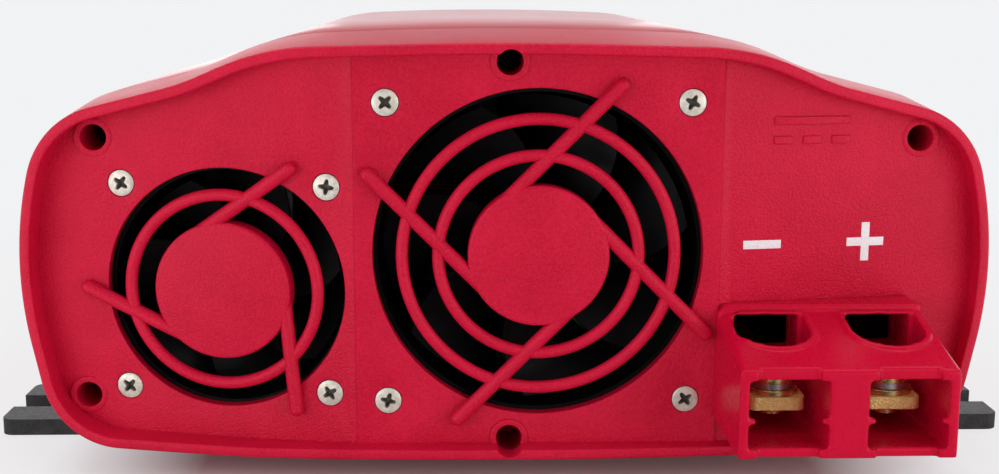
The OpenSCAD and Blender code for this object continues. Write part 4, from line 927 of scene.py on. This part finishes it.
def makeSwirlGrille():
    # rings, and straight round-ended spokes that leave the hub plate at a tangent
    lengths = ("innerRing", "ringStep", "ringRadius", "ringLift", "firstAngle", "spokeOffset",
               "spokeLength", "spokeRadius", "spokeLift")
    tree = Grower("swirlGrille", ringCount="Int", spokeCount="Int",
                  **{label: "Float" for label in lengths})
    get, steps = tree.given, grilleSteps
    size = get("innerRing") + tree.node("GeometryNodeInputIndex") * get("ringStep")
    centres = tree.node("GeometryNodePoints", {
        "Count": get("ringCount"), "Position": tree.vector(z=get("ringLift"))})
    hoops = tree.realized(tree.copies(centres, tree.circle(1.0, steps["around"]),
                                      "Scale", tree.vector(size, size, 1.0)))
    hoops = tree.node("GeometryNodeSetCurveRadius", {"Curve": hoops, "Radius": 1.0})
    rings = tree.node("GeometryNodeCurveToMesh", {
        "Curve": hoops, "Profile Curve": tree.circle(get("ringRadius"), steps["ringSection"])})
    radius, length, section = get("spokeRadius"), get("spokeLength"), steps["spokeSection"]
    rod = tree.node("GeometryNodeMeshCylinder", {
        "Vertices": section, "Radius": radius, "Depth": length})
    ball = tree.node("GeometryNodeMeshUVSphere", {
        "Segments": section, "Rings": steps["ballRings"], "Radius": radius})
    rod, ball = (tree.moved(one, tree.vector(get("spokeOffset"), length * -share, get("spokeLift")))
                 for one, share in ((rod, 0.5), (ball, 1.0)))
    spokes = tree.shared("spokeCount", tree.joined(rod, ball))
    return tree.ended(tree.joined(rings, spokes))


screwField, pieceRing, swirlGrille = makeScrewField(), makePieceRing(), makeSwirlGrille()
print("node trees made")


# DC end cap: the moulded panel with its two swirl grilles

left, right = caseSize["leftCrease"], caseSize["rightCrease"]
grilles = {
    "large": {"place": onMiddle(6.8, 55.0), "opening": 39.1, "plate": 16.7, "rings": 2,
              "innerRing": 23.6, "ringStep": 8.5, "spokes": 4, "firstAngle": 45,
              "spokeEnd": 45.9, "screwPitch": 71.5},
    "small": {"place": onSide(left, 31.7, 45.8), "opening": 29.1, "plate": 16.5, "rings": 1,
              "innerRing": 22.9, "ringStep": 0.0, "spokes": 3, "firstAngle": 5,
              "spokeEnd": 35.2, "screwPitch": 50.0}}
grilleBars = {"spokeRadius": 1.7, "ringRadius": 1.45, "sink": 0.3, "inset": 0.3, "ringDrop": 0.15,
              "plateFront": 3.134, "plateBack": -1.5, "plateEdge": 0.75, "plateCount": 96}
fanScrewHead = {"radius": 3.15, "gap": 0.14}


def addGrilles(shape):
    r, front, edge = (grilleBars[k] for k in ("spokeRadius", "plateFront", "plateEdge"))
    lift, back = r - grilleBars["sink"], grilleBars["plateBack"]
    for it in grilles.values():
        offset = it["plate"] - r - grilleBars["inset"]
        bars = swirlGrille.grown(
            pointCarrier("grilleBars", [(0, 0, 0)]), ringCount=it["rings"],
            innerRing=it["innerRing"], ringStep=it["ringStep"],
            ringRadius=grilleBars["ringRadius"], ringLift=lift - grilleBars["ringDrop"],
            spokeCount=it["spokes"], firstAngle=radians(it["firstAngle"]), spokeOffset=offset,
            spokeLength=(it["spokeEnd"] ** 2 - offset ** 2) ** 0.5 - r, spokeRadius=r,
            spokeLift=lift, material=finish["satin"])
        place = dcEnd @ it["place"]
        shape.absorb(bars, place, 1)
        rim = [(it["plate"] - a, front - b) for a, b in rounding(edge, 4)]
        for finishIndex, profile in enumerate((
                [(0, front)] + rim[:1], rim + [(it["plate"], back), (0, back)])):
            shape.turned(profile, place, grilleBars["plateCount"], finishIndex)


# a plain moulded direct-current sign: a line over three dashes
dcSign = {"run": 22.0, "height": 84.0, "width": 19.0, "dash": 0.24, "stroke": 2.0, "gap": 4.6,
          "proud": 0.45, "edge": 0.3}


def addSign(shape):
    it = dcSign
    dash = it["width"] * it["dash"]
    apart = (it["width"] - dash) / 2
    for x, rise, width in ((0, 0.5, it["width"]), (-apart, -0.5, dash), (0, -0.5, dash),
                           (apart, -0.5, dash)):
        place = dcEnd @ onSide(right, it["run"] + x, it["height"] + rise * it["gap"])
        shape.roundedBox(place, (width, it["stroke"], 2 * it["proud"]), it["edge"], 1)


def screwPlaces(it):
    half = it["screwPitch"] / 2
    return [it["place"] @ Matrix.Translation((x * half, y * half, 0))
            for x in (-1, 1) for y in (-1, 1)]


wells = {"xs": (60.4, 86.9), "height": 36.4, "window": (15.0, 9.4)}
dcHoles = [roundLoop(it["place"], it["opening"], 120) for it in grilles.values()]
dcHoles += [roundLoop(place, fanScrewHead["radius"] + fanScrewHead["gap"], 32)
            for it in grilles.values() for place in screwPlaces(it)]
dcHoles += [boxLoop(onRight(x, wells["height"]), *wells["window"]) for x in wells["xs"]]
makeCap("dc_end_cap", dcEnd, left, right, dcHoles, addGrilles, addSign)

# printed polarity signs
signs = {"minus": 60.3, "plus": 86.1, "height": 56.8, "length": 9.4, "stroke": 2.05, "thick": 0.08,
         "over": 1.1, "edge": 0.03}
ink = Shape()
for key, thick, size in (
        ("minus", 1.0, ("length", "stroke")), ("plus", 1.0, ("length", "stroke")),
        ("plus", signs["over"], ("stroke", "length"))):
    ink.roundedBox(dcEnd @ onRight(signs[key], signs["height"]),
                   (*(signs[k] for k in size), signs["thick"] * thick), signs["edge"])
settled(ink.done("polaritySigns", "sign"))

# AC end cap: sockets, switch, USB and vents
acEndSize = {"outletPitch": 42.0, "outletHeight": 58.0, "outlet": (27.0, 36.0), "switchRun": 30.0,
             "switch": (22.0, 27.0), "usbRun": 26.0, "usb": (13.2, 14.4), "usbHeight": 32.0,
             "lensPitch": 11.0, "lensHeight": 88.0, "lens": 2.5, "lensGap": 0.1, "vents": 7,
             "ventPitch": 6.0, "vent": (3.0, 30.0, 1.2), "ventHeight": 60.2}


def makeAcCap():
    it, crease = acEndSize, caseSize["acCrease"]
    holes = [boxLoop(onMiddle(s * it["outletPitch"] / 2, it["outletHeight"]), *it["outlet"])
             for s in (-1, 1)]
    holes.append(boxLoop(onSide(crease, it["switchRun"], it["outletHeight"]), *it["switch"]))
    holes.append(boxLoop(onSide(-crease, it["usbRun"], it["usbHeight"]), *it["usb"]))
    holes += [roundLoop(onMiddle(s * it["lensPitch"] / 2, it["lensHeight"]),
                        it["lens"] + it["lensGap"], 32) for s in (-1, 1)]
    for k in range(it["vents"]):
        run = it["usbRun"] + (k - it["vents"] // 2) * it["ventPitch"]
        holes.append(boxLoop(onSide(-crease, run, it["ventHeight"]), *it["vent"]))
    makeCap("ac_end_cap", acEnd, -crease, crease, holes)


makeAcCap()


# body: two painted halves that meet in a fine seam

bodySize = {"front": -101.0, "back": 127.0, "edge": 0.5, "seamGap": 0.12}


def bodyHalf(name, node, upper):
    limit = caseSize["seam"] + (bodySize["seamGap"] if upper else -bodySize["seamGap"])

    def cross(a, b):
        return a + (b - a) * (limit - a.y) / (b.y - a.y)

    def half(out):
        loop = caseOutline(out, caseSize["bodyCrown"])
        kept = [i for i, p in enumerate(loop) if (p.y > limit) == upper]
        start = next(i for i in kept if (i - 1) % len(loop) not in kept)
        run = [loop[(start + k) % len(loop)] for k in range(len(kept))]
        before, after = loop[(start - 1) % len(loop)], loop[(start + len(kept)) % len(loop)]
        return [cross(before, run[0])] + run + [cross(run[-1], after)]

    step, edge = caseSize["bodyStep"], bodySize["edge"]
    inner = half(step - caseSize["bodyWall"])[::-1]
    insets = (edge, 0.0), (edge * cutCorner, edge * cutCorner), (0.0, edge)
    rows = [(bodySize["front"] + along, inset) for inset, along in insets]
    rows += [(bodySize["back"] - along, inset) for inset, along in reversed(insets)]
    shape = Shape()
    shape.strip([[Vector((p.x, y, p.y)) for p in half(step - inset) + inner] for y, inset in rows])
    settled(shape.done(name, "paint"), node)


bodyHalf("upperBody", "upper_shell", True)
bodyHalf("lowerBody", "lower_shell", False)
print("body halves made")


# screws: one modelled head for each kind, set on points by geometry nodes

# measures of the cross are shares of its arm's length
headShape = {"count": 40, "edge": 0.18, "middle": 0.72, "crossWidth": 0.23, "crossHeart": 1.5,
             "crossEnd": (0.45, 0.86), "crossDepth": 0.95, "rim": ((0.05, 0.07), (0.0, 0.2)),
             "crossSteps": ((0.86, 0.25), (0.55, 1.0)), "shadeBelow": -0.05, "shadeReach": 1.02}


def screwModel(name, radius, dome, skirt, arm, shank, sunk=False):
    # head with a cross recess; skirt is the depth of its side, dome the rise of its face
    it, shape = headShape, Shape()
    half, (tip, shoulder), heart = arm * it["crossWidth"], it["crossEnd"], it["crossHeart"]
    face, count, deep = radius - it["edge"], it["count"], arm * it["crossDepth"]

    def rise(p):
        return dome * (1 - (p.length / radius) ** 2)

    cross = []
    for k in range(4):
        turn = Matrix.Rotation(k * pi / 2, 2)
        cross += [turn @ Vector(p) for p in (
            (half * heart, half * heart), (half, arm * shoulder), (half * tip, arm),
            (-half * tip, arm), (-half, arm * shoulder))]
    circle = [onCircle(face, k, count).xy for k in range(count)]
    shape.sheet([circle, [p * it["middle"] for p in circle]], [cross],
                lambda p: (p.x, p.y, rise(p)))
    low = rise(Vector((face, 0)))
    under = -skirt - (radius - shank if sunk else 0.0)
    shape.turned([(face, low)] + [(radius - inset, low - drop) for inset, drop in it["rim"]]
                 + [(radius, -skirt), (shank, under), (shank, under - shank), (0, under - shank)],
                 still, count)
    rows = [[(p.x, p.y, rise(p)) for p in cross]]
    rows += [[(p.x * s, p.y * s, -deep * drop) for p in cross] for s, drop in it["crossSteps"]]
    shape.face(shape.loft(rows)[-1])
    piece = shape.done(name, "nickel")
    shade = piece.data.attributes.new("recessShade", "FLOAT", "POINT")
    shade.data.foreach_set("value", [
        float(v.co.z < it["shadeBelow"] * mm and v.co.xy.length < arm * it["shadeReach"] * mm)
        for v in piece.data.vertices])
    return piece


def screwSet(node, model, places, seed, coat="nickel"):
    name = pieceName(node)
    points = [place.translation * mm for place in places]
    facing = [place.to_3x3() @ Vector((0, 0, 1)) for place in places]
    data = screwField.grown(pointCarrier(name + "Points", points, facing),
                            screw=model, seed=seed, material=finish[coat])
    settled(standing(name, data, coat, smooth=40), node)


fanScrew = screwModel("fanScrewModel", fanScrewHead["radius"], 0.28, 0.3, 1.95, 1.7, True)
caseScrew = screwModel("caseScrewModel", caseScrews["headRadius"], 0.6, 1.2, 1.6, 1.9)
footScrew = screwModel("footScrewModel", 3.3, 0.5, 1.3, 1.9, 1.6)
for size, seed in (("large", 4), ("small", 11)):
    screwSet(size + "_fan_screws", fanScrew,
             [dcEnd @ place for place in screwPlaces(grilles[size])], seed)
seatDepth = caseSize["capLength"] - caseScrews["floor"] - caseScrews["seat"]
for node, end, seed in (("dc_case_screws", dcEnd, 7), ("ac_case_screws", acEnd, 9)):
    screwSet(node, caseScrew, [end @ Matrix.Translation((x, seatDepth, z)) @ upright
                               for x, z in caseScrews["places"]], seed, "blued")
footScrews = {"xs": (74.0, 96.0), "ys": (-80.5, 106.5), "height": 1.1}
screwSet("foot_screws", footScrew,
         [Matrix.Translation((s * x, y, footScrews["height"])) @ Matrix.Rotation(pi, 4, "X")
          for s in (-1, 1) for x in footScrews["xs"] for y in footScrews["ys"]], 5)
for model in (fanScrew, caseScrew, footScrew):
    bpy.data.objects.remove(model)
print("screws set")


# fans: cup-shaped hubs and swept, cambered blades

fans = {"large": {"hub": 16.2, "tip": 36.7, "low": -24.4, "high": -4.6, "blades": 7},
        "small": {"hub": 14.5, "tip": 26.9, "low": -19.4, "high": -4.6, "blades": 7}}
bladeShape = {"steps": 8, "root": 0.8, "thick": 1.1, "edgeThick": 0.35, "swell": 0.6,
              "offset": (0.72, 0.7), "chord": 0.88, "lean": 0.34, "leanPower": 1.6, "camber": 0.12,
              "margin": 0.8, "inset": 0.06, "taper": 0.08, "firstAngle": 0.2}
# the hub's section from its bore to its rim: how far from the rim or the axis, and from the front
hubShape = {"bore": 1.55, "boss": (4.0, 4.4), "bossProud": 0.3, "count": 72,
            "edge": ((2.0, 0.3), (0.6, 0.7), (0.0, 1.8)), "wall": 1.5, "plate": 2.6}


def bladeModel(it):
    # rows run from hub to tip, columns from the front edge to the back edge
    form, rows = bladeShape, []
    tall = it["high"] - it["low"] - 2 * form["margin"]
    width = 2 * pi / it["blades"] * form["chord"]
    across, along = form["offset"]
    for i in range(form["steps"] + 1):
        share = i / form["steps"]
        radius = it["hub"] - form["root"] + (it["tip"] - it["hub"] + form["root"]) * share
        lean = form["lean"] * share ** form["leanPower"]
        front, back = [], []
        for k in range(form["steps"] + 1):
            s = k / form["steps"]
            arch = 4 * s * (1 - s)
            angle = width * (s - 0.5 + arch * form["camber"]) + lean
            fall = (form["inset"] + (1 - 2 * form["inset"]) * s) * (1 - form["taper"] * share)
            z = it["high"] - form["margin"] - tall * fall
            thick = form["edgeThick"] + (1 - form["edgeThick"]) * arch ** form["swell"]
            thick = form["thick"] * thick / 2
            for rim, sign in ((front, 1), (back, -1)):
                turn = angle + sign * thick * across / radius
                rim.append(Vector((radius * cos(turn), radius * sin(turn),
                                   z + sign * thick * along)))
        rows.append(front + back[::-1])
    shape = Shape()
    shape.strip(rows)
    return shape.done("bladeModel", "fan", smooth=40)


def makeFan(size, it):
    blade = bladeModel(it)
    ring = pieceRing.grown(pointCarrier("bladeRing", []), piece=blade, count=it["blades"],
                           firstAngle=bladeShape["firstAngle"], material=finish["fan"])
    bpy.data.objects.remove(blade)
    rotor, place, form = Shape(), dcEnd @ grilles[size]["place"], hubShape
    rotor.absorb(ring, place @ toMm)
    hub, high, low, bore = it["hub"], it["high"], it["low"], form["bore"]
    cup, plate = hub - form["wall"], high - form["plate"]
    rotor.turned(
        [(bore, high), (form["boss"][0], high), (form["boss"][1], high - form["bossProud"])]
        + [(hub - inset, high - drop) for inset, drop in form["edge"]]
        + [(hub, low), (cup, low), (cup, plate), (bore, plate)], place, form["count"], 0, True)
    node = size + "_fan_rotor"
    settled(rotor.done(pieceName(node), "fan", smooth=40), node, size + "_fan")
    # the clamp would take all of the small frame's softening away
    dressed(size + "_fan_frame", "fan", 0.2, clamp=size == "large")


for size, it in fans.items():
    makeFan(size, it)
print("fans made")


# terminal shroud: the CAD solid, rounded and with its lugs

shroudSize = {"left": 49.3, "right": 98.0, "front": -163.0, "frontTop": 35.2, "roofFront": -133.2,
              "slopeTop": 41.5, "roof": 43.1, "back": -118.0, "leftRound": (0.9, 3.8),
              "rightRound": 1.0, "freeLeft": ((1.6, 0.9), (3.0, 3.0)),
              "freeRight": ((3.0, 3.0), (0.6, 0.5)), "below": 5.0, "slack": 0.01,
              "stations": range(-158, -137, 5),
              "roofStep": (0.12, 0.08), "cavity": 17.7, "lug": (1.5, 1.8, 1.25), "lugHeight": 23.6,
              "lugRoot": 0.6, "lugEdge": 0.2, "windowAt": -127.0, "windowDepth": 19.0,
              "windowEdge": 0.3, "voxel": 0.38, "soften": (0.5, 6)}


def shroudSection(y):
    # what the shroud may fill at a depth: a rounding on its left edge that widens to the rear,
    # a small one on its right, and free space above between them
    it = shroudSize
    share = min(max((y - it["front"]) / (it["roofFront"] - it["front"]), 0.0), 1.0)
    sloped = y < it["roofFront"] - sum(it["roofStep"]) / 2
    top = it["frontTop"] + (it["slopeTop"] - it["frontTop"]) * share if sloped else it["roof"]
    wide = it["leftRound"][0] + (it["leftRound"][1] - it["leftRound"][0]) * share
    x0, x1, small = it["left"] - it["slack"], it["right"] + it["slack"], it["rightRound"]
    loop = [(x0, it["below"])]
    loop += [(x0 + b, top - a) for a, b in rounding(wide, 10)]
    loop += [(x0 + wide + x, top + rise) for x, rise in it["freeLeft"]]
    loop += [(x1 - small - x, top + rise) for x, rise in it["freeRight"]]
    loop += [(x1 - a, top - b) for a, b in rounding(small, 5)]
    return [Vector((x, y, z)) for x, z in loop + [(x1, it["below"])]]


def makeShroud():
    it, node = shroudSize, "terminal_shroud"
    solid, limit, windows, shape = Shape(), Shape(), Shape(), Shape()
    solid.absorb(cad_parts[node].data.copy(), toMm)
    stations = [it["front"] - 2 * it["slack"], *it["stations"],
                *(it["roofFront"] - step for step in it["roofStep"]), it["back"]]
    rows = limit.loft([shroudSection(y) for y in stations])
    limit.face(rows[0])
    limit.face(rows[-1])
    wide, tall = wells["window"]
    for x in wells["xs"]:
        windows.roundedBox(Matrix.Translation((x, it["windowAt"], wells["height"])),
                           (wide, it["windowDepth"], tall), it["windowEdge"])
    tools = {"INTERSECT": limit.done("shroudLimit", "satin"),
             "DIFFERENCE": windows.done("shroudWindows", "satin")}
    shape.absorb(carved(solid.done("shroudSolid", "satin"), tools), toMm)
    lugWide, lugLong, lugTall = it["lug"]
    for x in wells["xs"]:
        for side in (-1, 1):
            at = (x + side * (it["cavity"] / 2 - lugWide / 2 + it["lugRoot"] / 2),
                  it["front"] + lugLong / 2, it["lugHeight"])
            shape.roundedBox(Matrix.Translation(at),
                             (lugWide + it["lugRoot"], lugLong, lugTall), it["lugEdge"])
    piece = shape.done("terminalShroudForm", "satin")
    melt = piece.modifiers.new("melt", "REMESH")
    melt.mode, melt.voxel_size, melt.use_smooth_shade = "VOXEL", it["voxel"] * mm, True
    soft = piece.modifiers.new("soft", "SMOOTH")
    soft.factor, soft.iterations = it["soften"]
    piece = standing(pieceName(node), baked(piece), "satin", smooth=50)
    settled(piece, node)
    print("terminal shroud:", len(piece.data.polygons), "faces")


makeShroud()


# terminals, feet and the fittings of the AC end: CAD solids with softened edges

for finishName, slot, edge, *nodes in (
        ("bar", "terminal_brass", 0.3, "negative_bar", "positive_bar"),
        ("brass", "terminal_brass", 0.2, "terminal_screws"),
        ("steel", "screw_steel", 0.12, "spring_washers"),
        ("brass", "terminal_brass", 0.12, "flat_washers")):
    for node in nodes:
        dressed(node, finishName, edge)
for end in ("front", "rear"):
    for side in ("left", "right"):
        dressed(f"{end}_{side}_foot", "foot", 0.55, segments=3)
for node in ("left_outlet", "right_outlet", "switch_housing"):
    dressed(node, "fitting", 0.3)
dressed("power_rocker", "fitting", 0.35, "rocker")
for node, finishName, slot, edge in (
        ("usb_shell", "steel", "screw_steel", 0.15),
        ("usb_tongues", "fitting", "fitting_black", 0.2),
        ("indicator_lenses", "lens", "lens_green", 0.15),
        ("outlet_contacts", "brass", "terminal_brass", 0.1)):
    dressed(node, finishName, edge)
print("terminals, feet and fittings made")

# inside the AC end, dark screens that keep light out of the case so that its inside stays in shade:
# a black foam sheet behind the vents, and covers on the backs of the outlets
inner = {"lightScreen": (43.0, 32.0, 4.0), "lightScreenEdge": 0.8, "gap": 0.05, "cover": 1.6, "margin": 3.0,
         "coverEdge": 0.5, "pin": (0.8, 5.0, 4.0), "pinEdge": 0.25,
         "pins": ((-6.4, -2.2, 6.0), (6.4, -2.2, 6.0), (0.0, -2.2, -6.0))}
ventFilter, outletCovers = Shape(), Shape()
ventFilter.roundedBox(
    acEnd @ onSide(-caseSize["acCrease"], acEndSize["usbRun"], acEndSize["ventHeight"])
    @ Matrix.Translation((0, 0, -caseSize["panel"] - inner["lightScreen"][2] / 2 - inner["gap"])),
    inner["lightScreen"], inner["lightScreenEdge"])
for side in ("left", "right"):
    low, high = (Vector(corner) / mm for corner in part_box(side + "_outlet"))
    middle = Vector(((low.x + high.x) / 2, low.y - inner["cover"] / 2 - inner["gap"],
                     (low.z + high.z) / 2))
    wide, tall = high.x - low.x - inner["margin"], high.z - low.z - inner["margin"]
    outletCovers.roundedBox(Matrix.Translation(middle), (wide, inner["cover"], tall),
                            inner["coverEdge"])
    for pin in inner["pins"]:
        outletCovers.roundedBox(Matrix.Translation(middle + Vector(pin)), inner["pin"],
                                inner["pinEdge"])
settled(ventFilter.done("ventFilter", "foam"))
settled(outletCovers.done("outletCovers", "fitting"))

# what stays as it is in the frame gets its finish
coats = {"steel": ("shroud_screws", "large_fan_shaft", "small_fan_shaft", "large_fan_nuts",
                   "small_fan_nuts", "board_screws"),
         "brass": ("large_fan_bearing", "small_fan_bearing"),
         "copper": ("large_fan_stator", "small_fan_stator", "transformer_windings", "choke_coil"),
         "ferrite": ("transformer_cores", "choke_core"), "board": ("circuit_board",),
         "sleeve": ("input_capacitors", "output_capacitors"),
         "sink": ("left_heat_sink", "right_heat_sink"), "fitting": ("power_transistors",),
         "fuse": ("input_fuses",)}
for finishName, nodes in coats.items():
    for node in nodes:
        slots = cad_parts[node].data.materials
        slots.clear()
        slots.append(finish[finishName])


# camera, floor and light

view = {"at": (-11.443, -454.994, 118.579), "yaw": 1.605, "pitch": 10.394, "roll": 0.162,
        "lens": 50.435, "sensor": 36.0, "clip": (0.01, 50.0)}


def makeCamera():
    yaw, pitch, roll = (radians(view[k]) for k in ("yaw", "pitch", "roll"))
    ahead = Vector((sin(yaw) * cos(pitch), cos(yaw) * cos(pitch), -sin(pitch)))
    level = Vector((cos(yaw), -sin(yaw), 0))
    plumb = level.cross(ahead)
    across = level * cos(roll) + plumb * sin(roll)
    upward = plumb * cos(roll) - level * sin(roll)
    data = bpy.data.cameras.new("photoCamera")
    data.sensor_fit, data.sensor_width, data.lens = "HORIZONTAL", view["sensor"], view["lens"]
    data.clip_start, data.clip_end = view["clip"]
    turn = Matrix((across, upward, -ahead)).transposed()
    scene.camera = linked("photoCamera", data)
    scene.camera.matrix_world = Matrix.Translation(Vector(view["at"]) * mm) @ turn.to_4x4()


# the veil is light that the floor adds for the camera, away from the part's footprint; near the
# part, painted contact shade darkens the floor's glow as reflections see it
studio = {"backdrop": (0.885, 0.890, 0.902), "floor": (0.84, 0.84, 0.845),
          "fibre": (0.80, 0.80, 0.81), "floorRadius": 6.0, "floorCorners": 48, "world": 0.54,
          "opening": 0.06, "openingEdge": (0.88, 0.975), "ceiling": 0.05,
          "ceilingEdge": (0.22, 0.5), "footprint": (0.075, 0.138), "edge": 0.04, "near": 0.75,
          "fade": 0.24, "contact": (0.03, 0.16, 0.2)}


def lightTent(bench, x, y):
    # white walls with a dark opening: how far a direction lies from the opening
    ahead = y.math("ABSOLUTE") / ((x * x + y * y + 1e-6) ** 0.5)
    return bench.span(ahead, *studio["openingEdge"], 1.0, studio["opening"])


def makeFloor():
    count = studio["floorCorners"]
    data = bpy.data.meshes.new("floor")
    data.from_pydata(
        [Vector((0, 0, 0))] + [onCircle(studio["floorRadius"], k, count) for k in range(count)],
        [], [(0, k + 1, (k + 1) % count + 1) for k in range(count)])
    it = Finish("floorPaper")
    colour = it.mix(it.noise(2.0) * 0.06, studio["floor"], studio["fibre"])
    data.materials.append(it.put(colour=colour, rough=0.85, specular=0.2))
    place = it.node("ShaderNodeSeparateXYZ", {0: it.place})
    past = [(place.out(axis).math("ABSOLUTE") - half).math("MAXIMUM")
            for axis, half in zip("XY", studio["footprint"])]
    away = (past[0] * past[0] + past[1] * past[1]) ** 0.5
    ray = it.node("ShaderNodeLightPath")
    seen = it.span(ray.out("Is Camera Ray") + ray.out("Is Transmission Ray"), 0.0, 1.0)
    mirrored = ray.out("Is Glossy Ray")
    # reflections see the floor as the tent's glow, with painted contact shade that darkens it near
    # the part
    start, end, least = studio["contact"]
    tent = lightTent(it, place.out("X"), place.out("Y")) * it.span(away, start, end, least, 1.0)
    shade = it.mix(mirrored * (1 - tent), studio["backdrop"], (0.0, 0.0, 0.0))
    glow = it.node("ShaderNodeEmission", {"Color": shade, "Strength": 1.0})
    veil = (it.span(away, 0.0, studio["edge"], 0.0, studio["near"])
            + it.span(away, studio["edge"], studio["fade"], 0.0, 1 - studio["near"]))
    share = it.span(veil * seen + mirrored, 0.0, 1.0)
    paper = Wire(it.tree, it.skin.outputs[0])
    blend = it.node("ShaderNodeMixShader", {0: share, 1: paper, 2: glow})
    it.tree.links.new(blend.socket, it.tree.nodes["Material Output"].inputs[0])
    linked("floor", data)


def makeWorld():
    # pale all round for the camera; reflections also find the tent's opening and dark ceiling
    world = bpy.data.worlds.new("studio")
    world.use_nodes = True
    world.cycles.sampling_method = "NONE"    # so that reflections find the tent, and only it
    scene.world = world
    bench = Bench(world.node_tree)
    ray = bench.node("ShaderNodeLightPath")
    toward = bench.node("ShaderNodeSeparateXYZ", {
        0: bench.node("ShaderNodeTexCoord", out="Generated")})
    tent = lightTent(bench, toward.out("X"), toward.out("Y").math("MINIMUM"))
    height = bench.span(toward.out("Z"), *studio["ceilingEdge"], 1.0, studio["ceiling"])
    seen = ray.out("Is Camera Ray")
    mirrored = ray.out("Is Glossy Ray").math("MAXIMUM", ray.out("Is Transmission Ray"))
    strength = seen + (1 - seen) * (mirrored * tent * height + (1 - mirrored) * studio["world"])
    sky = bench.tree.nodes["Background"]
    plug(bench.tree, sky.inputs["Color"], studio["backdrop"])
    plug(bench.tree, sky.inputs["Strength"], strength)


lamps = {
    "overhead": {"at": ((0.0, 0.05, 0.95),), "to": (0.0, 0.05, 0.03), "size": (1.1, 0.9),
                 "power": 5.2},
    "box": {"at": ((-0.62, -0.88, 0.10), (0.64, -0.86, 0.10)), "to": (0.0, -0.1, 0.06),
            "size": (0.80, 0.17), "power": 1.6},
    "back": {"at": ((-0.55, 0.98, 0.26), (0.57, 0.98, 0.26)), "to": (0.0, 0.1, 0.05),
             "size": (0.85, 0.40), "power": 0.9},
    "fill": {"at": ((-0.58, -0.42, 0.28), (0.60, -0.42, 0.28)), "to": (0.0, -0.1, 0.05),
             "size": (0.70, 0.50), "power": 1.0}}


def makeLamps():
    for name, lamp in lamps.items():
        for at in lamp["at"]:
            data = bpy.data.lights.new(name, "AREA")
            data.shape, data.energy = "RECTANGLE", lamp["power"]
            data.size, data.size_y = lamp["size"]
            made = linked(name, data)
            made.location = at
            made.visible_camera = False
            aim = Vector(lamp["to"]) - Vector(at)
            made.rotation_euler = aim.to_track_quat("-Z", "Y").to_euler()


makeCamera()
makeFloor()
makeWorld()
makeLamps()
scene.view_settings.view_transform = "Standard"
print("camera, floor and light made")
